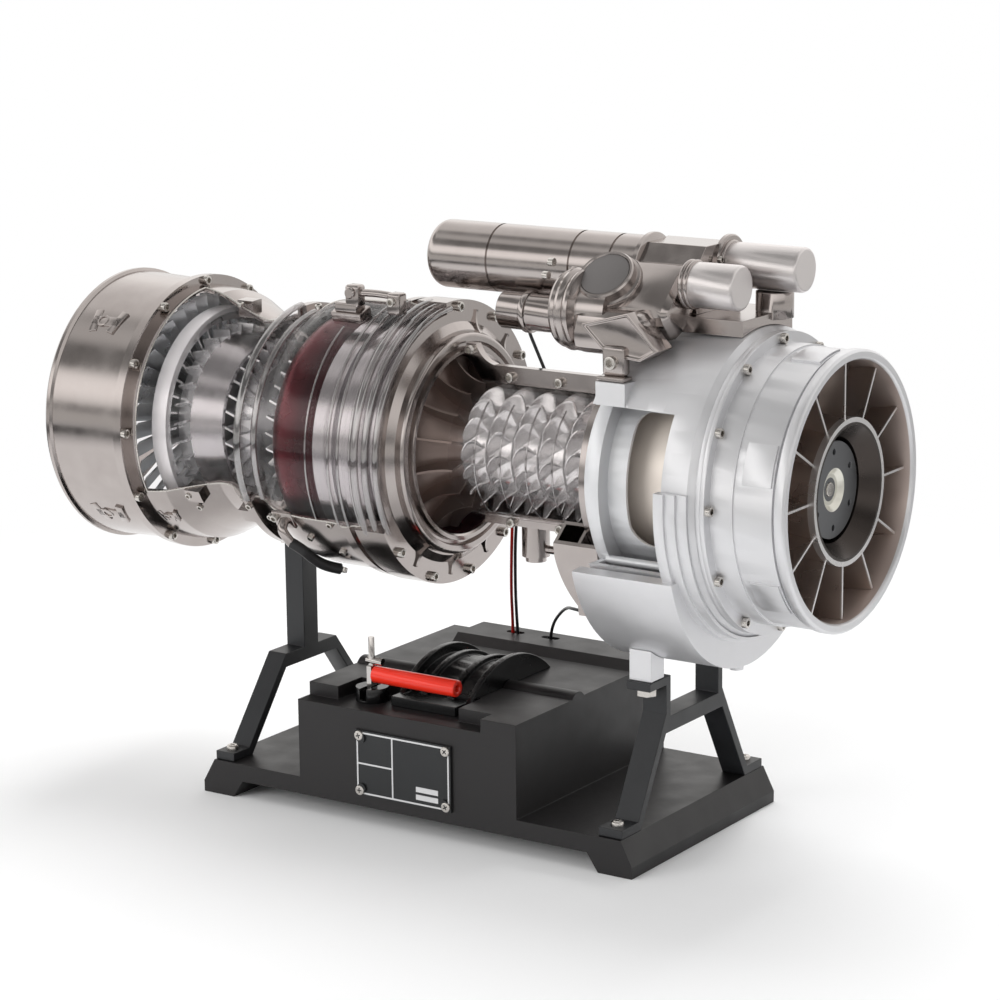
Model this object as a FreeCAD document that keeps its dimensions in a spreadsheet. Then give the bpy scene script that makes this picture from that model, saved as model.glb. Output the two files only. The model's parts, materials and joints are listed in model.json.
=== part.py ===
import FreeCAD, Part
import math
import os
import re

import Sketcher

# Desk display model of a cut-away turboshaft engine on a moulded stand.
# The engine axis runs along X, exhaust at -X and inlet at +X; the floor is z = 0.
# Engine sub-parts are drawn about their own X axis and lifted to the axis height.

os.makedirs("parts", exist_ok=True)
doc = FreeCAD.newDocument("TurboshaftEngine")
sheet = doc.addObject("Spreadsheet::Sheet", "Sizes")

SIZES = [
    ("axis_height", 111.08, "engine axis above the floor"),
    ("scroll_depth", 55, "bottom of the scroll below the axis"),
    ("shell_gap", 0.1, "clearance between shells that plug together"),
    ("running_gap", 0.15, "radial clearance of a shaft in its bearing"),
    ("blade_gap", 0.7, "clearance between blade tips and casing"),
    # Stand
    ("base_half_depth", 42, "half depth of the base"),
    ("base_wall", 2.4, "wall of the hollow block"),
    ("base_deck", 11, "top of the base flange"),
    ("base_rear", -68.2, "rear end of the flange top"),
    ("base_front", 80.0, "front end of the flange top"),
    ("foot_rear", -72.5, "rear end of the feet"),
    ("foot_front", 83.8, "front end of the feet"),
    ("foot_height", 3.6, "upright part of the base ends"),
    ("foot_length", 11.5, "length of each foot on the floor"),
    ("foot_slope", 3.8, "slope from a foot to the apron"),
    ("apron_height", 5.5, "underside of the base between the feet"),
    ("block_rear", -34.9, "rear face of the centre block"),
    ("block_front", 44.4, "front face of the centre block"),
    ("block_top", 39.8, "top of the centre block"),
    ("ledge_top", 35.7, "ledge at the lever"),
    ("ledge_depth", 6, "depth of the ledge along the block front"),
    ("ledge_end", 32, "front end of the ledge"),
    ("bay_rear", -24, "rear end of the lever bay"),
    ("bay_front", 20.2, "front end of the lever bay"),
    ("bay_depth", 18, "depth of the lever bay from the block front"),
    ("deck_rear", -23.5, "rear end of the raised cable deck"),
    ("deck_start", 24, "near side of the raised cable deck"),
    ("deck_rise", 2.6, "height of the raised cable deck"),
    ("deck_chamfer", 3.4, "sloped border of the cable deck"),
    ("cable_hole_x", -7.4, "first cable hole"),
    ("cable_hole_pitch", 13.2, "distance between the cable holes"),
    ("cable_hole_y", 36.6, "cable holes across the base"),
    ("cable_hole_length", 6.4, "cable hole length"),
    ("cable_hole_width", 2.6, "cable hole width"),
    ("cable_hole_depth", 3, "cable hole depth"),
    ("spine_inset", 34, "shaft cover from the near side of the base"),
    ("spine_y", "=spine_inset - base_half_depth", "shaft cover across the base"),
    ("spine_radius", 4.2, "shaft cover radius"),
    ("spine_drop", 2.4, "shaft cover centre below the block top"),
    # Leg frames
    ("leg_width", 8, "front legs along the axis"),
    ("front_leg_x", 72, "rear side of the front legs"),
    ("rear_leg_width", 7, "rear legs along the axis"),
    ("tab_thickness", 2.7, "foot tabs"),
    ("tab_end", 41, "outer end of the foot tabs"),
    ("rear_leg_x", -68.2, "rear side of the rear legs"),
    ("leg_foot_y", 32, "outer side of the front legs at the tabs"),
    ("rear_foot_y", 33, "outer side of the rear legs at the tabs"),
    ("pad_clearance", 2.48, "gap from the support pads to the bottom of the scroll"),
    ("pad_top", "=axis_height - scroll_depth - pad_clearance", "top of the support pads"),
    ("leg_knee_z", "=pad_top - 11.2", "outer bend of the front legs"),
    ("leg_thickness", 3.6, "leg thickness across"),
    ("crossbar_top", "=pad_top - 12.4", "top of the front crossbar"),
    ("crossbar_depth", 4.8, "depth of the front crossbar"),
    ("upright_thickness", 2.6, "front upright thickness"),
    ("upright_y", 13.8, "inner side of the front uprights"),
    ("pad_end_y", 25.6, "outer end of the support pads"),
    ("pad_thickness", 2.6, "support pads"),
    ("support_y", 20.8, "support blocks across the axis"),
    ("support_width", 7.4, "side of the square support blocks"),
    ("rear_knee_y", 13.2, "outer side of the rear legs at the bar"),
    ("rear_bar_top", 39.2, "top of the rear bar"),
    ("rear_bar_thickness", 4.4, "rear bar"),
    ("column_half", 3.7, "half depth of the rear column"),
    ("tab_screw_y", 37, "foot screws across the axis"),
    ("pan_head", 1.9, "pan head radius"),
    ("pan_head_height", 1.4, "pan head height"),
    ("pan_shank", 1.0, "pan screw shank radius"),
    ("nut_flats", 5.5, "support nut across flats"),
    ("nut_height", 2.4, "support nut height"),
    ("stud_radius", 1.5, "support stud radius"),
    # Nameplate
    ("plate_centre_x", 4.4, "nameplate centre"),
    ("plate_centre_z", 19.6, "nameplate centre"),
    ("plate_width", 34.7, "nameplate width"),
    ("plate_height", 20.4, "nameplate height"),
    ("plate_thickness", 0.8, "nameplate thickness"),
    ("plate_screw_inset", 2.3, "nameplate screws from the edge"),
    ("plate_head", 1.5, "nameplate screw head radius"),
    ("plate_head_height", 0.6, "nameplate screw head height"),
    # Start lever
    ("lever_x", -15, "lever plane"),
    ("lever_thickness", 1.6, "lever blade thickness"),
    ("lever_inset", 11.2, "lever pivot from the near side of the base"),
    ("lever_y", "=lever_inset - base_half_depth", "lever pivot across the base"),
    ("lever_pivot_z", 38.6, "lever pivot height"),
    ("lever_top", 55.4, "tip of the lever"),
    ("lever_rod", 0.95, "lever rod radius"),
    ("lever_lean", 8, "lean of the lever rod in degrees"),
    ("boss_radius", 5, "lever boss radius"),
    ("boss_height", 4.4, "lever boss height"),
    ("boss_slot_half", 1.25, "half width of the boss slot"),
    ("grip_z", 43.9, "grip axis height"),
    ("grip_radius", 2.6, "grip radius"),
    ("grip_length", 30.5, "grip length"),
    ("grip_round", 0.8, "rounding of the grip ends"),
    ("quadrant_inset", 36, "centre of the quadrant cover from the near side of the base"),
    ("quadrant_y", "=quadrant_inset - base_half_depth", "centre of the quadrant cover"),
    ("quadrant_radius", 31, "radius of the tall ribs"),
    ("quadrant_top", 48.6, "top of the tall ribs"),
    ("quadrant_rear", -6.5, "rear end of the quadrant cover"),
    ("quadrant_length", 26, "length of the quadrant cover"),
    ("rib_width", 2, "quadrant rib width"),
    ("rib_low", 1.6, "low ribs below the tall ribs"),
    ("rib_root", 3, "cover below the tall ribs"),
    # Exhaust
    ("exhaust_rear", -131, "rear of the exhaust lip"),
    ("lip_radius", 43.6, "outer radius of the rear lip"),
    ("bead_radius", 1.2, "radius of the rolled bead"),
    ("duct_radius", 42.7, "exhaust duct outer radius"),
    ("duct_wall", 1.1, "exhaust duct wall"),
    ("duct_taper", 1.0, "taper of the exhaust duct"),
    ("exhaust_joint", -101.5, "joint of duct and turbine casing"),
    ("flange_radius", 43.7, "radius of the exhaust flanges"),
    ("flange_thickness", 1.5, "thickness of the exhaust flanges"),
    ("flange_screw_radius", 42.2, "screw circle of the exhaust flanges"),
    ("flange_screws", 12, "screws in each twelve-screw flange"),
    ("screw_head", 1.5, "socket head radius"),
    ("screw_head_height", 1.6, "socket head height"),
    ("screw_shank", 0.75, "socket screw shank radius"),
    ("socket_radius", 0.8, "socket radius"),
    ("socket_depth", 0.8, "socket depth"),
    ("tail_radius", 13, "tail body radius"),
    ("tail_rear", -121, "rear end of the tail body"),
    ("strut_count", 6, "exhaust struts"),
    ("strut_chord", 7, "exhaust strut length along the axis"),
    ("strut_thickness", 1.4, "exhaust strut thickness"),
    ("strut_front", -104.5, "front edge of the exhaust struts"),
    # Turbine section
    ("casing_wall", 1.0, "casing and window wall"),
    ("cone_rear_radius", 40.6, "turbine casing radius behind its flange"),
    ("cone_step", -96, "rear edge of the turbine cone"),
    ("cone_mid", -84, "waist step of the turbine cone"),
    ("cone_mid_radius", 36.4, "radius at the waist step"),
    ("neck_radius", 32, "radius of the turbine neck"),
    ("neck_rear", -74, "rear edge of the turbine neck"),
    ("neck_x", -69, "front edge of the turbine neck"),
    ("turbine_joint", -59.5, "joint of turbine casing and combustor"),
    ("joint_radius", 38.2, "radius of the combustor rear flange"),
    ("joint_step", 3.0, "drop from the joint flange to the turbine casing"),
    ("joint_thickness", 2.0, "thickness of the combustor rear flange"),
    ("window_centre", 62, "clock angle of the window middle in degrees"),
    ("window_sweep", 111, "sweep of the turbine window in degrees"),
    ("nozzle_radius", 29.2, "nozzle ring radius"),
    ("nozzle_length", 5.2, "nozzle ring length"),
    ("nozzle_front", -85.6, "front edge of the nozzle ring"),
    ("nozzle_vanes", 30, "nozzle vanes"),
    ("turbine_duct_radius", 27.2, "rear radius of the hot duct"),
    ("turbine_duct_front_radius", 24.8, "front radius of the hot duct"),
    ("turbine_duct_front", -75, "front edge of the hot duct"),
    ("stage_one_rear", -94.6, "rear edge of the shrouded power stage"),
    ("stage_one_length", 3.4, "length of the shrouded power stage"),
    ("stage_one_radius", 31.8, "tip shroud radius"),
    ("shroud_thickness", 1.6, "tip shroud thickness"),
    ("stage_two_rear", -100.6, "rear edge of the open power stage"),
    ("stage_two_length", 4.2, "length of the open power stage"),
    ("stage_two_radius", 38.6, "tip radius of the open power stage"),
    ("power_hub_radius", 15, "hub radius of the power stages"),
    ("power_blades", 36, "blades of each power stage"),
    ("shaft_rear", -112, "rear end of the power shaft"),
    ("shaft_front", 124, "front end of the power shaft"),
    ("duct_web_x", -80.5, "web of the hot duct"),
    ("power_shaft_radius", 2.0, "power shaft radius"),
    ("turbine_wall", 1.2, "hot duct wall"),
    ("turbine_blade", 0.7, "turbine blade thickness"),
    ("core_shaft_radius", 4.0, "core shaft radius"),
    ("core_bore", 2.5, "bore of the core shaft"),
    ("bearing_width", 2.4, "bearing width"),
    ("bearing_wall", 3.0, "bearing ring thickness"),
    ("core_turbine_radius", 25.6, "tip radius of the core turbine"),
    ("core_turbine_hub", 19, "hub radius of the core turbine"),
    ("core_turbine_blades", 32, "blades of each core turbine stage"),
    ("core_stage_one", -57.6, "rear face of the first core turbine stage"),
    ("core_stage_two", -73.4, "rear face of the second core turbine stage"),
    ("core_stage_length", 5.4, "length of a core turbine stage"),
    # Combustor
    ("burner_radius", 41.6, "combustor casing radius"),
    ("burner_rear_radius", 35.2, "combustor casing radius behind its flange"),
    ("barrel_rear", -54, "rear end of the combustor barrel curve"),
    ("barrel_start", -38, "front end of the combustor barrel curve"),
    ("barrel_end", -12, "front end of the combustor barrel"),
    ("barrel_sweep", 24, "radius of the combustor barrel curve"),
    ("burner_front", -6, "front of the combustor casing"),
    ("burner_front_radius", 38.8, "radius of the combustor front rim"),
    ("rib_rear", -20.5, "rear edge of the combustor hoop"),
    ("rib_length", 3, "length of the combustor hoop"),
    ("rib_height", 1.3, "height of the combustor hoop"),
    ("burner_window_sweep", 113, "sweep of the combustor window in degrees"),
    ("rim_radius", 43.4, "radius of the screw rim"),
    ("rim_rear", -15, "rear edge of the screw rim"),
    ("rim_screws", 9, "screws in the combustor rim"),
    ("rim_pitch", 28, "angle between the rim screws in degrees"),
    ("rim_first", 133, "clock angle of the first rim screw in degrees"),
    ("rim_screw_radius", 41.4, "screw circle of the combustor rim"),
    ("gusset_height", 2, "height of the rim gussets"),
    ("gusset_thickness", 0.9, "thickness of the rim gussets"),
    ("liner_rear", -50, "rear edge of the liner"),
    ("liner_rear_radius", 30.6, "liner rear radius"),
    ("liner_radius", 37.0, "liner radius"),
    ("liner_shoulder", -41, "front end of the liner curve"),
    ("liner_round", 9, "radius of the liner curve"),
    ("liner_front", -31, "front edge of the red liner"),
    ("liner_wall", 1.2, "liner wall"),
    ("liner_mouth", 26.6, "inner edge of the liner end wall"),
    ("band_length", 7, "length of the grey liner band"),
    ("band_gap", 3.6, "gap between the liner bands"),
    ("front_band_length", 8.6, "length of the silver liner band"),
    ("diffuser_mouth", 27.6, "radius of the diffuser mouth"),
    ("diffuser_face", 0, "front face of the diffuser case"),
    ("diffuser_flange_front", -4.4, "front of the diffuser flange"),
    ("fuel_tube_radius", 1.2, "fuel tube radius"),
    ("tube_top_rear", -38, "rear end of the upper fuel tube"),
    ("tube_top_front", -23, "front end of the upper fuel tube"),
    ("tube_top_clock", 10.5, "clock angle of the upper fuel tube in degrees"),
    ("tube_low_rear", -47, "rear end of the lower fuel tube"),
    ("tube_low_front", -29, "front end of the lower fuel tube"),
    ("tube_low_clock", 128, "clock angle of the lower fuel tube in degrees"),
    # Compressor
    ("compressor_radius", 19.9, "bore of the compressor casing"),
    ("compressor_wall", 0.8, "compressor casing wall"),
    ("compressor_rear", 7, "rear edge of the compressor casing"),
    ("compressor_front", 59, "front edge of the compressor casing"),
    ("stage_start", 7.4, "rear edge of the last compressor stage"),
    ("stage_pitch", 9.1, "length of a compressor stage"),
    ("stage_count", 5, "compressor stages"),
    ("stage_blades", 16, "blades of each compressor stage"),
    ("drum_radius", 12, "compressor drum radius"),
    ("hub_radius", 14, "compressor stage hub radius"),
    ("blade_thickness", 0.7, "compressor blade thickness"),
    ("blade_stagger", 38, "stagger of the blade root in degrees"),
    ("blade_chord", 8.2, "blade chord"),
    ("blade_crest", 18, "height of the blade tips"),
    ("blade_lean", 3.6, "lean of the blade tips around the axis"),
    ("core_shaft_front", 63.5, "front end of the core shaft"),
    ("impeller_sweep", 17, "radius of the impeller curve"),
    ("impeller_rear", -8, "rear face of the impeller"),
    ("impeller_tip", 26.4, "impeller tip radius"),
    ("impeller_blades", 14, "impeller blades"),
    ("strip_half", 1.4, "half thickness of the split-line strips"),
    ("strip_bottom", 20.75, "inner edge of the split-line strips"),
    ("strip_top", 25.4, "outer edge of the split-line strips"),
    ("strip_screw_pitch", 17.5, "distance between the strip screws"),
    ("strip_screw_z", 22.2, "strip screws above and below the axis"),
    ("strip_screw_x", 17, "first strip screw"),
    ("sump_x", 20.5, "round sump below the far casing"),
    ("sump_y", 6.2, "round sump across"),
    ("sump_radius", 4.3, "round sump radius"),
    ("sump_depth", 35.2, "bottom of the round sump below the axis"),
    ("scoop_rear", 50, "rear face of the bleed scoop"),
    ("scoop_length", 8.8, "length of the bleed scoop"),
    ("scoop_end", 64.8, "front end of the near wall of the bleed scoop"),
    ("scoop_reach", 30, "near rim of the bleed scoop from the axis"),
    ("scoop_rim", 18.6, "near rim of the bleed scoop below the axis"),
    # Front frame
    ("frame_rear", 66.6, "rear edge of the front frame"),
    ("frame_front", 103, "front edge of the front frame"),
    ("frame_rear_radius", 42.6, "rear radius of the front frame"),
    ("frame_radius", 44.7, "front frame radius"),
    ("frame_wall", 1.8, "front frame wall"),
    ("window_top", 24.8, "upper edge of the frame window"),
    ("window_bottom", -21, "lower edge of the frame window"),
    ("window_front", 94.5, "front edge of the frame window"),
    ("ring_radius", 36.5, "rear ring of the inner barrel"),
    ("ring_rear", 65.5, "rear face of the barrel ring"),
    ("ring_front", 69.4, "front face of the barrel ring"),
    ("rail_radius", 1.2, "half-round rail below the inner barrel"),
    ("scroll_radius", 46, "scroll radius"),
    ("scroll_drop", "=scroll_depth - scroll_radius", "scroll centre below the axis"),
    ("scroll_lip", -22, "height of the scroll lips"),
    ("scroll_rear", 65.2, "rear face of the scroll"),
    ("scroll_front", 98, "front face of the scroll"),
    ("scroll_wall", 1.6, "scroll wall"),
    ("collar_rear", 94, "rear face of the collar"),
    ("collar_top", 4.5, "top of the collar arms"),
    ("collar_wall", 2.9, "radial thickness of the collar"),
    ("collar_step", 0.9, "radial step of the collar"),
    ("collar_pitch", 3.2, "length of each collar step"),
    ("inlet_joint", 106.5, "joint of front frame and inlet barrel"),
    ("inlet_flange_radius", 43.6, "radius of the inlet flanges"),
    ("inlet_flange", 1.4, "thickness of the inlet barrel flange"),
    ("inlet_screw_radius", 41.9, "screw circle of the inlet flange"),
    ("inlet_radius", 40.4, "inlet barrel radius"),
    ("inlet_bore", 37.4, "bore of the inlet barrel"),
    ("inlet_front", 131, "front of the inlet lip"),
    ("lip_length", 3, "length of the inlet lip"),
    ("seam_x", 115, "seam of the inlet barrel"),
    ("pad_rise", 0.5, "height of the barrel pads"),
    ("inner_barrel_radius", 31.4, "inner barrel radius"),
    ("inner_barrel_rear", 61.4, "front face of the inner barrel wall"),
    ("slot_rear", 75.5, "rear edge of the inner barrel slot"),
    ("slot_front", 97, "front edge of the inner barrel slot"),
    ("slot_top", 21.5, "upper edge of the inner barrel slot"),
    ("slot_low", 16.5, "lower edge of the inner barrel slot below the axis"),
    ("slot_round", 7, "lower corner radius of the inner barrel slot"),
    ("slot_corner", 4, "upper corner radius of the inner barrel slot"),
    ("core_radius", 24.5, "radius of the light inner cylinder"),
    # Swirl frame
    ("hub_front", 130, "front edge of the inlet hub"),
    ("inlet_hub_radius", 21.2, "inlet hub radius"),
    ("inlet_hub_bore", 19, "inlet hub bore"),
    ("inlet_hub_rear", 109, "rear edge of the inlet hub"),
    ("hub_web_x", 112.6, "bearing web of the inlet hub"),
    ("vane_count", 12, "inlet vanes"),
    ("vane_front", 128.2, "front edge of the inlet vanes"),
    ("vane_chord", 9, "length of an inlet vane"),
    ("vane_thickness", 0.7, "inlet vane thickness"),
    ("vane_skew", 1.6, "skew of an inlet vane along its length"),
    ("coupling_face", 125, "front face of the output coupling"),
    ("coupling_radius", 14, "output coupling radius"),
    ("coupling_thickness", 3, "output coupling thickness"),
    ("coupling_pitch_radius", 11, "coupling bolt circle radius"),
    ("coupling_holes", 6, "coupling bolt holes"),
    ("coupling_hole_radius", 0.9, "coupling bolt hole radius"),
    ("coupling_bore", 4.6, "coupling centre bore"),
    # Accessories
    ("starter_y", 1, "starter axis across"),
    ("starter_z", 57.6, "starter axis above the engine axis"),
    ("starter_radius", 10.2, "starter radius"),
    ("starter_rear", -9, "rear end of the starter"),
    ("starter_front", 64, "front end of the starter"),
    ("starter_round", 3.4, "rounding of the starter end"),
    ("pump_y", -10, "pump axis across"),
    ("pump_z", 44.4, "pump axis above the engine axis"),
    ("pump_radius", 5.6, "pump radius"),
    ("pump_rear", 21, "rear end of the pump"),
    ("pump_front", 50.5, "front end of the pump"),
    ("gearbox_rear", 64, "rear face of the gearbox"),
    ("gearbox_near", -12, "near side of the gearbox"),
    ("gearbox_far", 17, "far side of the gearbox"),
    ("gearbox_seat", 44.8, "gearbox foot above the engine axis"),
    ("gearbox_top", 66.6, "gearbox top above the engine axis"),
    ("gearbox_length", 20.9, "length of the gearbox case"),
    ("outlet_x", 100, "far outlet post"),
    ("outlet_radius", 5.5, "radius of the far outlet post"),
    ("canister_radius", 6.5, "canister radius"),
    ("canister_near_y", -12.5, "near canister across"),
    ("canister_near_z", 57.2, "near canister above the engine axis"),
    ("canister_far_y", 10, "far canister across"),
    ("canister_far_z", 60.0, "far canister above the engine axis"),
    ("canister_near_front", 102, "front end of the near canister"),
    ("canister_far_front", 110, "front end of the far canister"),
    ("valve_x", 62, "valve cap centre"),
    ("valve_y", -21, "valve cap centre across"),
    ("valve_z", 59.4, "valve cap centre above the engine axis"),
    ("valve_tilt", 48, "elevation of the valve cap in degrees"),
    ("valve_cap_radius", 8.3, "valve cap radius"),
    ("valve_drum_y", -19.6, "valve drum across"),
    ("valve_drum_z", 48.4, "valve drum above the engine axis"),
    ("valve_drum_radius", 11.4, "valve drum radius"),
    ("housing_length", 24, "length of the valve housing"),
    ("housing_near", -33, "near side of the valve housing"),
    ("bracket_x", 67.6, "clamp bracket"),
    ("bracket_length", 9, "length of the clamp bracket"),
    ("bracket_y", -32.5, "near face of the clamp bracket"),
    ("bracket_z", 31.5, "clamp bracket above the engine axis"),
    ("groove_depth", 0.5, "depth of the starter grooves"),
    ("groove_width", 0.7, "width of the starter grooves"),
    ("wire_radius", 0.5, "wire radius"),
]

aliases = set()
for row, (alias, number, note) in enumerate(SIZES, start=1):
    sheet.set("A%d" % row, note)
    sheet.set("B%d" % row, str(number))
    sheet.setAlias("B%d" % row, alias)
    aliases.add(alias)
doc.recompute()

WORD = re.compile(r"[a-z_]+")


def formula(text):
    """Point every alias in a formula at the sheet."""
    return WORD.sub(lambda m: "Sizes." + m.group() if m.group() in aliases else m.group(), str(text))


def value(text):
    """The number that a formula gives now."""
    result = sheet.evalExpression(formula(text))
    return float(getattr(result, "Value", result))


def bind(thing, path, text):
    if WORD.search(str(text)):
        thing.setExpression(path, formula(text))


parts_made = []


def engine_body(label):
    """A body drawn about the engine axis."""
    body = doc.addObject("PartDesign::Body", label)
    body.Label = label
    body.AllowCompound = True
    body.Placement.Base.z = value("axis_height")
    body.setExpression("Placement.Base.z", formula("axis_height"))
    parts_made.append(body)
    return body


def ground_body(label):
    """A body drawn from the floor."""
    body = doc.addObject("PartDesign::Body", label)
    body.Label = label
    body.AllowCompound = True
    parts_made.append(body)
    return body


def origin_item(body, role):
    return next(item for item in body.Origin.OriginFeatures if item.Role == role)


def new_sketch(body, name, role, shift="0", clock="0"):
    """A sketch on an origin plane, shifted along its normal; clock turns an XZ sketch about X."""
    sketch = body.newObject("Sketcher::SketchObject", name)
    sketch.AttachmentSupport = [(origin_item(body, role), "")]
    sketch.MapMode = "FlatFace"
    sketch.setExpression("AttachmentOffset", formula(
        "placement(vector(0; -({0}) * sin({1}); ({0}) * cos({1})); rotation(vector(1; 0; 0); {1}))"
        .format(shift, clock)))
    return sketch


def pin_point(sketch, piece, end, x_text, y_text):
    """Hold a sketch point at two coordinates."""
    for kind, text, axis in (("DistanceX", x_text, -2), ("DistanceY", y_text, -1)):
        if str(text) == "0":
            sketch.addConstraint(Sketcher.Constraint("PointOnObject", piece, end, axis))
            continue
        index = sketch.addConstraint(Sketcher.Constraint(kind, -1, 1, piece, end, value(text)))
        bind(sketch, "Constraints[%d]" % index, text)


def arc_between(start, stop, radius, side):
    """The short arc of a radius from start to stop, bulging left (1) or right (-1) of travel."""
    along = stop - start
    left = FreeCAD.Vector(-along.y, along.x, 0).normalize()
    rise = math.sqrt(max(radius ** 2 - (along.Length / 2) ** 2, 0.0))
    centre = (start + stop) * 0.5 - left * rise * side
    first, last = (stop, start) if side == 1 else (start, stop)
    from_angle = math.atan2(first.y - centre.y, first.x - centre.x)
    to_angle = math.atan2(last.y - centre.y, last.x - centre.x)
    if to_angle <= from_angle:
        to_angle += 2 * math.pi
    return Part.ArcOfCircle(Part.Circle(centre, FreeCAD.Vector(0, 0, 1), radius), from_angle, to_angle)


def outline(sketch, corners):
    """A closed outline. A corner is (x, y); (x, y, radius, side) is reached by an arc."""
    points = [FreeCAD.Vector(value(c[0]), value(c[1]), 0) for c in corners]
    pieces = []
    ends = []
    for number, corner in enumerate(corners):
        start = points[number - 1]
        stop = points[number]
        if len(corner) == 4:
            piece = sketch.addGeometry(arc_between(start, stop, value(corner[2]), corner[3]), False)
            ends.append((2, 1) if corner[3] == 1 else (1, 2))
            index = sketch.addConstraint(Sketcher.Constraint("Radius", piece, value(corner[2])))
            bind(sketch, "Constraints[%d]" % index, corner[2])
        else:
            piece = sketch.addGeometry(Part.LineSegment(start, stop), False)
            ends.append((1, 2))
        pieces.append(piece)
    for number, corner in enumerate(corners):
        following = (number + 1) % len(corners)
        sketch.addConstraint(Sketcher.Constraint(
            "Coincident", pieces[number], ends[number][1], pieces[following], ends[following][0]))
        pin_point(sketch, pieces[number], ends[number][1], corner[0], corner[1])
    return sketch


def circle(sketch, x_text, y_text, radius_text):
    piece = sketch.addGeometry(Part.Circle(
        FreeCAD.Vector(value(x_text), value(y_text), 0), FreeCAD.Vector(0, 0, 1), value(radius_text)), False)
    pin_point(sketch, piece, 3, x_text, y_text)
    index = sketch.addConstraint(Sketcher.Constraint("Radius", piece, value(radius_text)))
    bind(sketch, "Constraints[%d]" % index, radius_text)
    return sketch


def box_outline(sketch, x_low, x_high, y_low, y_high):
    return outline(sketch, [(x_low, y_low), (x_high, y_low), (x_high, y_high), (x_low, y_high)])


def pad(body, sketch, length, both_sides=False, back=False):
    feature = body.newObject("PartDesign::Pad", "Pad")
    feature.Profile = sketch
    feature.Length = value(length)
    bind(feature, "Length", length)
    feature.Midplane = both_sides
    feature.Reversed = back
    body.Tip = feature
    return feature


def pocket(body, sketch, length, both_sides=False, back=False):
    feature = body.newObject("PartDesign::Pocket", "Pocket")
    feature.Profile = sketch
    feature.Length = value(length)
    bind(feature, "Length", length)
    feature.Midplane = both_sides
    feature.Reversed = back
    body.Tip = feature
    return feature


def spin(body, sketch, sweep="360", about=None, cut=False):
    """Revolve a sketch about the engine axis, or about its own axis line."""
    kind = "PartDesign::Groove" if cut else "PartDesign::Revolution"
    feature = body.newObject(kind, "Groove" if cut else "Revolution")
    feature.Profile = sketch
    feature.ReferenceAxis = about or (origin_item(body, "X_Axis"), [""])
    feature.Angle = value(sweep)
    bind(feature, "Angle", sweep)
    feature.Midplane = sweep != "360"
    body.Tip = feature
    return feature


def turned(label, profile, sweep="360", clock="0"):
    """A shell of revolution about the engine axis, from (x, radius) corners."""
    body = engine_body(label)
    sketch = outline(new_sketch(body, label + "_profile", "XZ_Plane", clock=clock), profile)
    spin(body, sketch, sweep)
    return body


def ring_of(body, originals, count, sweep="360"):
    """Repeat features around the engine axis."""
    pattern = body.newObject("PartDesign::PolarPattern", "Ring")
    pattern.Originals = originals
    pattern.Axis = (origin_item(body, "X_Axis"), [""])
    pattern.Angle = value(sweep)
    bind(pattern, "Angle", sweep)
    pattern.Occurrences = int(value(count))
    bind(pattern, "Occurrences", count)
    body.Tip = pattern
    return pattern


def loft(body, first, second):
    feature = body.newObject("PartDesign::AdditiveLoft", "Loft")
    feature.Profile = first
    feature.Sections = [second]
    feature.Ruled = True
    body.Tip = feature
    return feature


def screw_profile(sketch, seat, height, head, head_height, shank, shank_length):
    """Half section of a screw whose seat is at x = seat, head towards +X, axis at y = height."""
    outline(sketch, [
        ("%s - %s" % (seat, shank_length), height),
        ("%s + %s" % (seat, head_height), height),
        ("%s + %s" % (seat, head_height), "%s + %s" % (height, head)),
        (seat, "%s + %s" % (height, head)),
        (seat, "%s + %s" % (height, shank)),
        ("%s - %s" % (seat, shank_length), "%s + %s" % (height, shank))])
    axis = sketch.addGeometry(Part.LineSegment(
        FreeCAD.Vector(value(seat) - 3, value(height), 0), FreeCAD.Vector(value(seat) + 3, value(height), 0)), True)
    pin_point(sketch, axis, 1, seat + " - 3", height)
    pin_point(sketch, axis, 2, seat + " + 3", height)
    return sketch


def axial_screw(body, name, seat, radius, shank_length, clock="0"):
    """One socket screw parallel to the engine axis, with its head towards +X."""
    sketch = new_sketch(body, name, "XZ_Plane", clock=clock)
    screw_profile(sketch, seat, radius, "screw_head", "screw_head_height", "screw_shank", shank_length)
    return spin(body, sketch, about=(sketch, ["Axis0"]))


def add_box(body, name, x_low, x_high, y_low, y_high, z_low, height):
    """A block raised from z_low."""
    sketch = new_sketch(body, name, "XY_Plane", shift=z_low)
    return pad(body, box_outline(sketch, x_low, x_high, y_low, y_high), height)


def cut_box(body, name, x_low, x_high, y_low, y_high, z_high, depth):
    """A square recess sunk from z_high."""
    sketch = new_sketch(body, name, "XY_Plane", shift=z_high)
    return pocket(body, box_outline(sketch, x_low, x_high, y_low, y_high), depth)


def along_axis(body, name, x_low, length, corners):
    """A bar along X whose section is drawn in (y, z)."""
    sketch = new_sketch(body, name, "YZ_Plane", shift=x_low)
    return pad(body, outline(sketch, corners), length)


def rod_along_axis(body, name, x_low, length, y_text, z_text, radius):
    sketch = new_sketch(body, name, "YZ_Plane", shift=x_low)
    return pad(body, circle(sketch, y_text, z_text, radius), length)


def post(body, name, x_text, y_text, z_low, height, radius):
    sketch = new_sketch(body, name, "XY_Plane", shift=z_low)
    return pad(body, circle(sketch, x_text, y_text, radius), height)


def band(body, name, x_low, x_high, r_low, r_high, clock="0", sweep="360"):
    """A ring, or a lug where the sweep is short, on the engine axis."""
    sketch = new_sketch(body, name, "XZ_Plane", clock=clock)
    return spin(body, box_outline(sketch, x_low, x_high, r_low, r_high), sweep)


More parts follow.
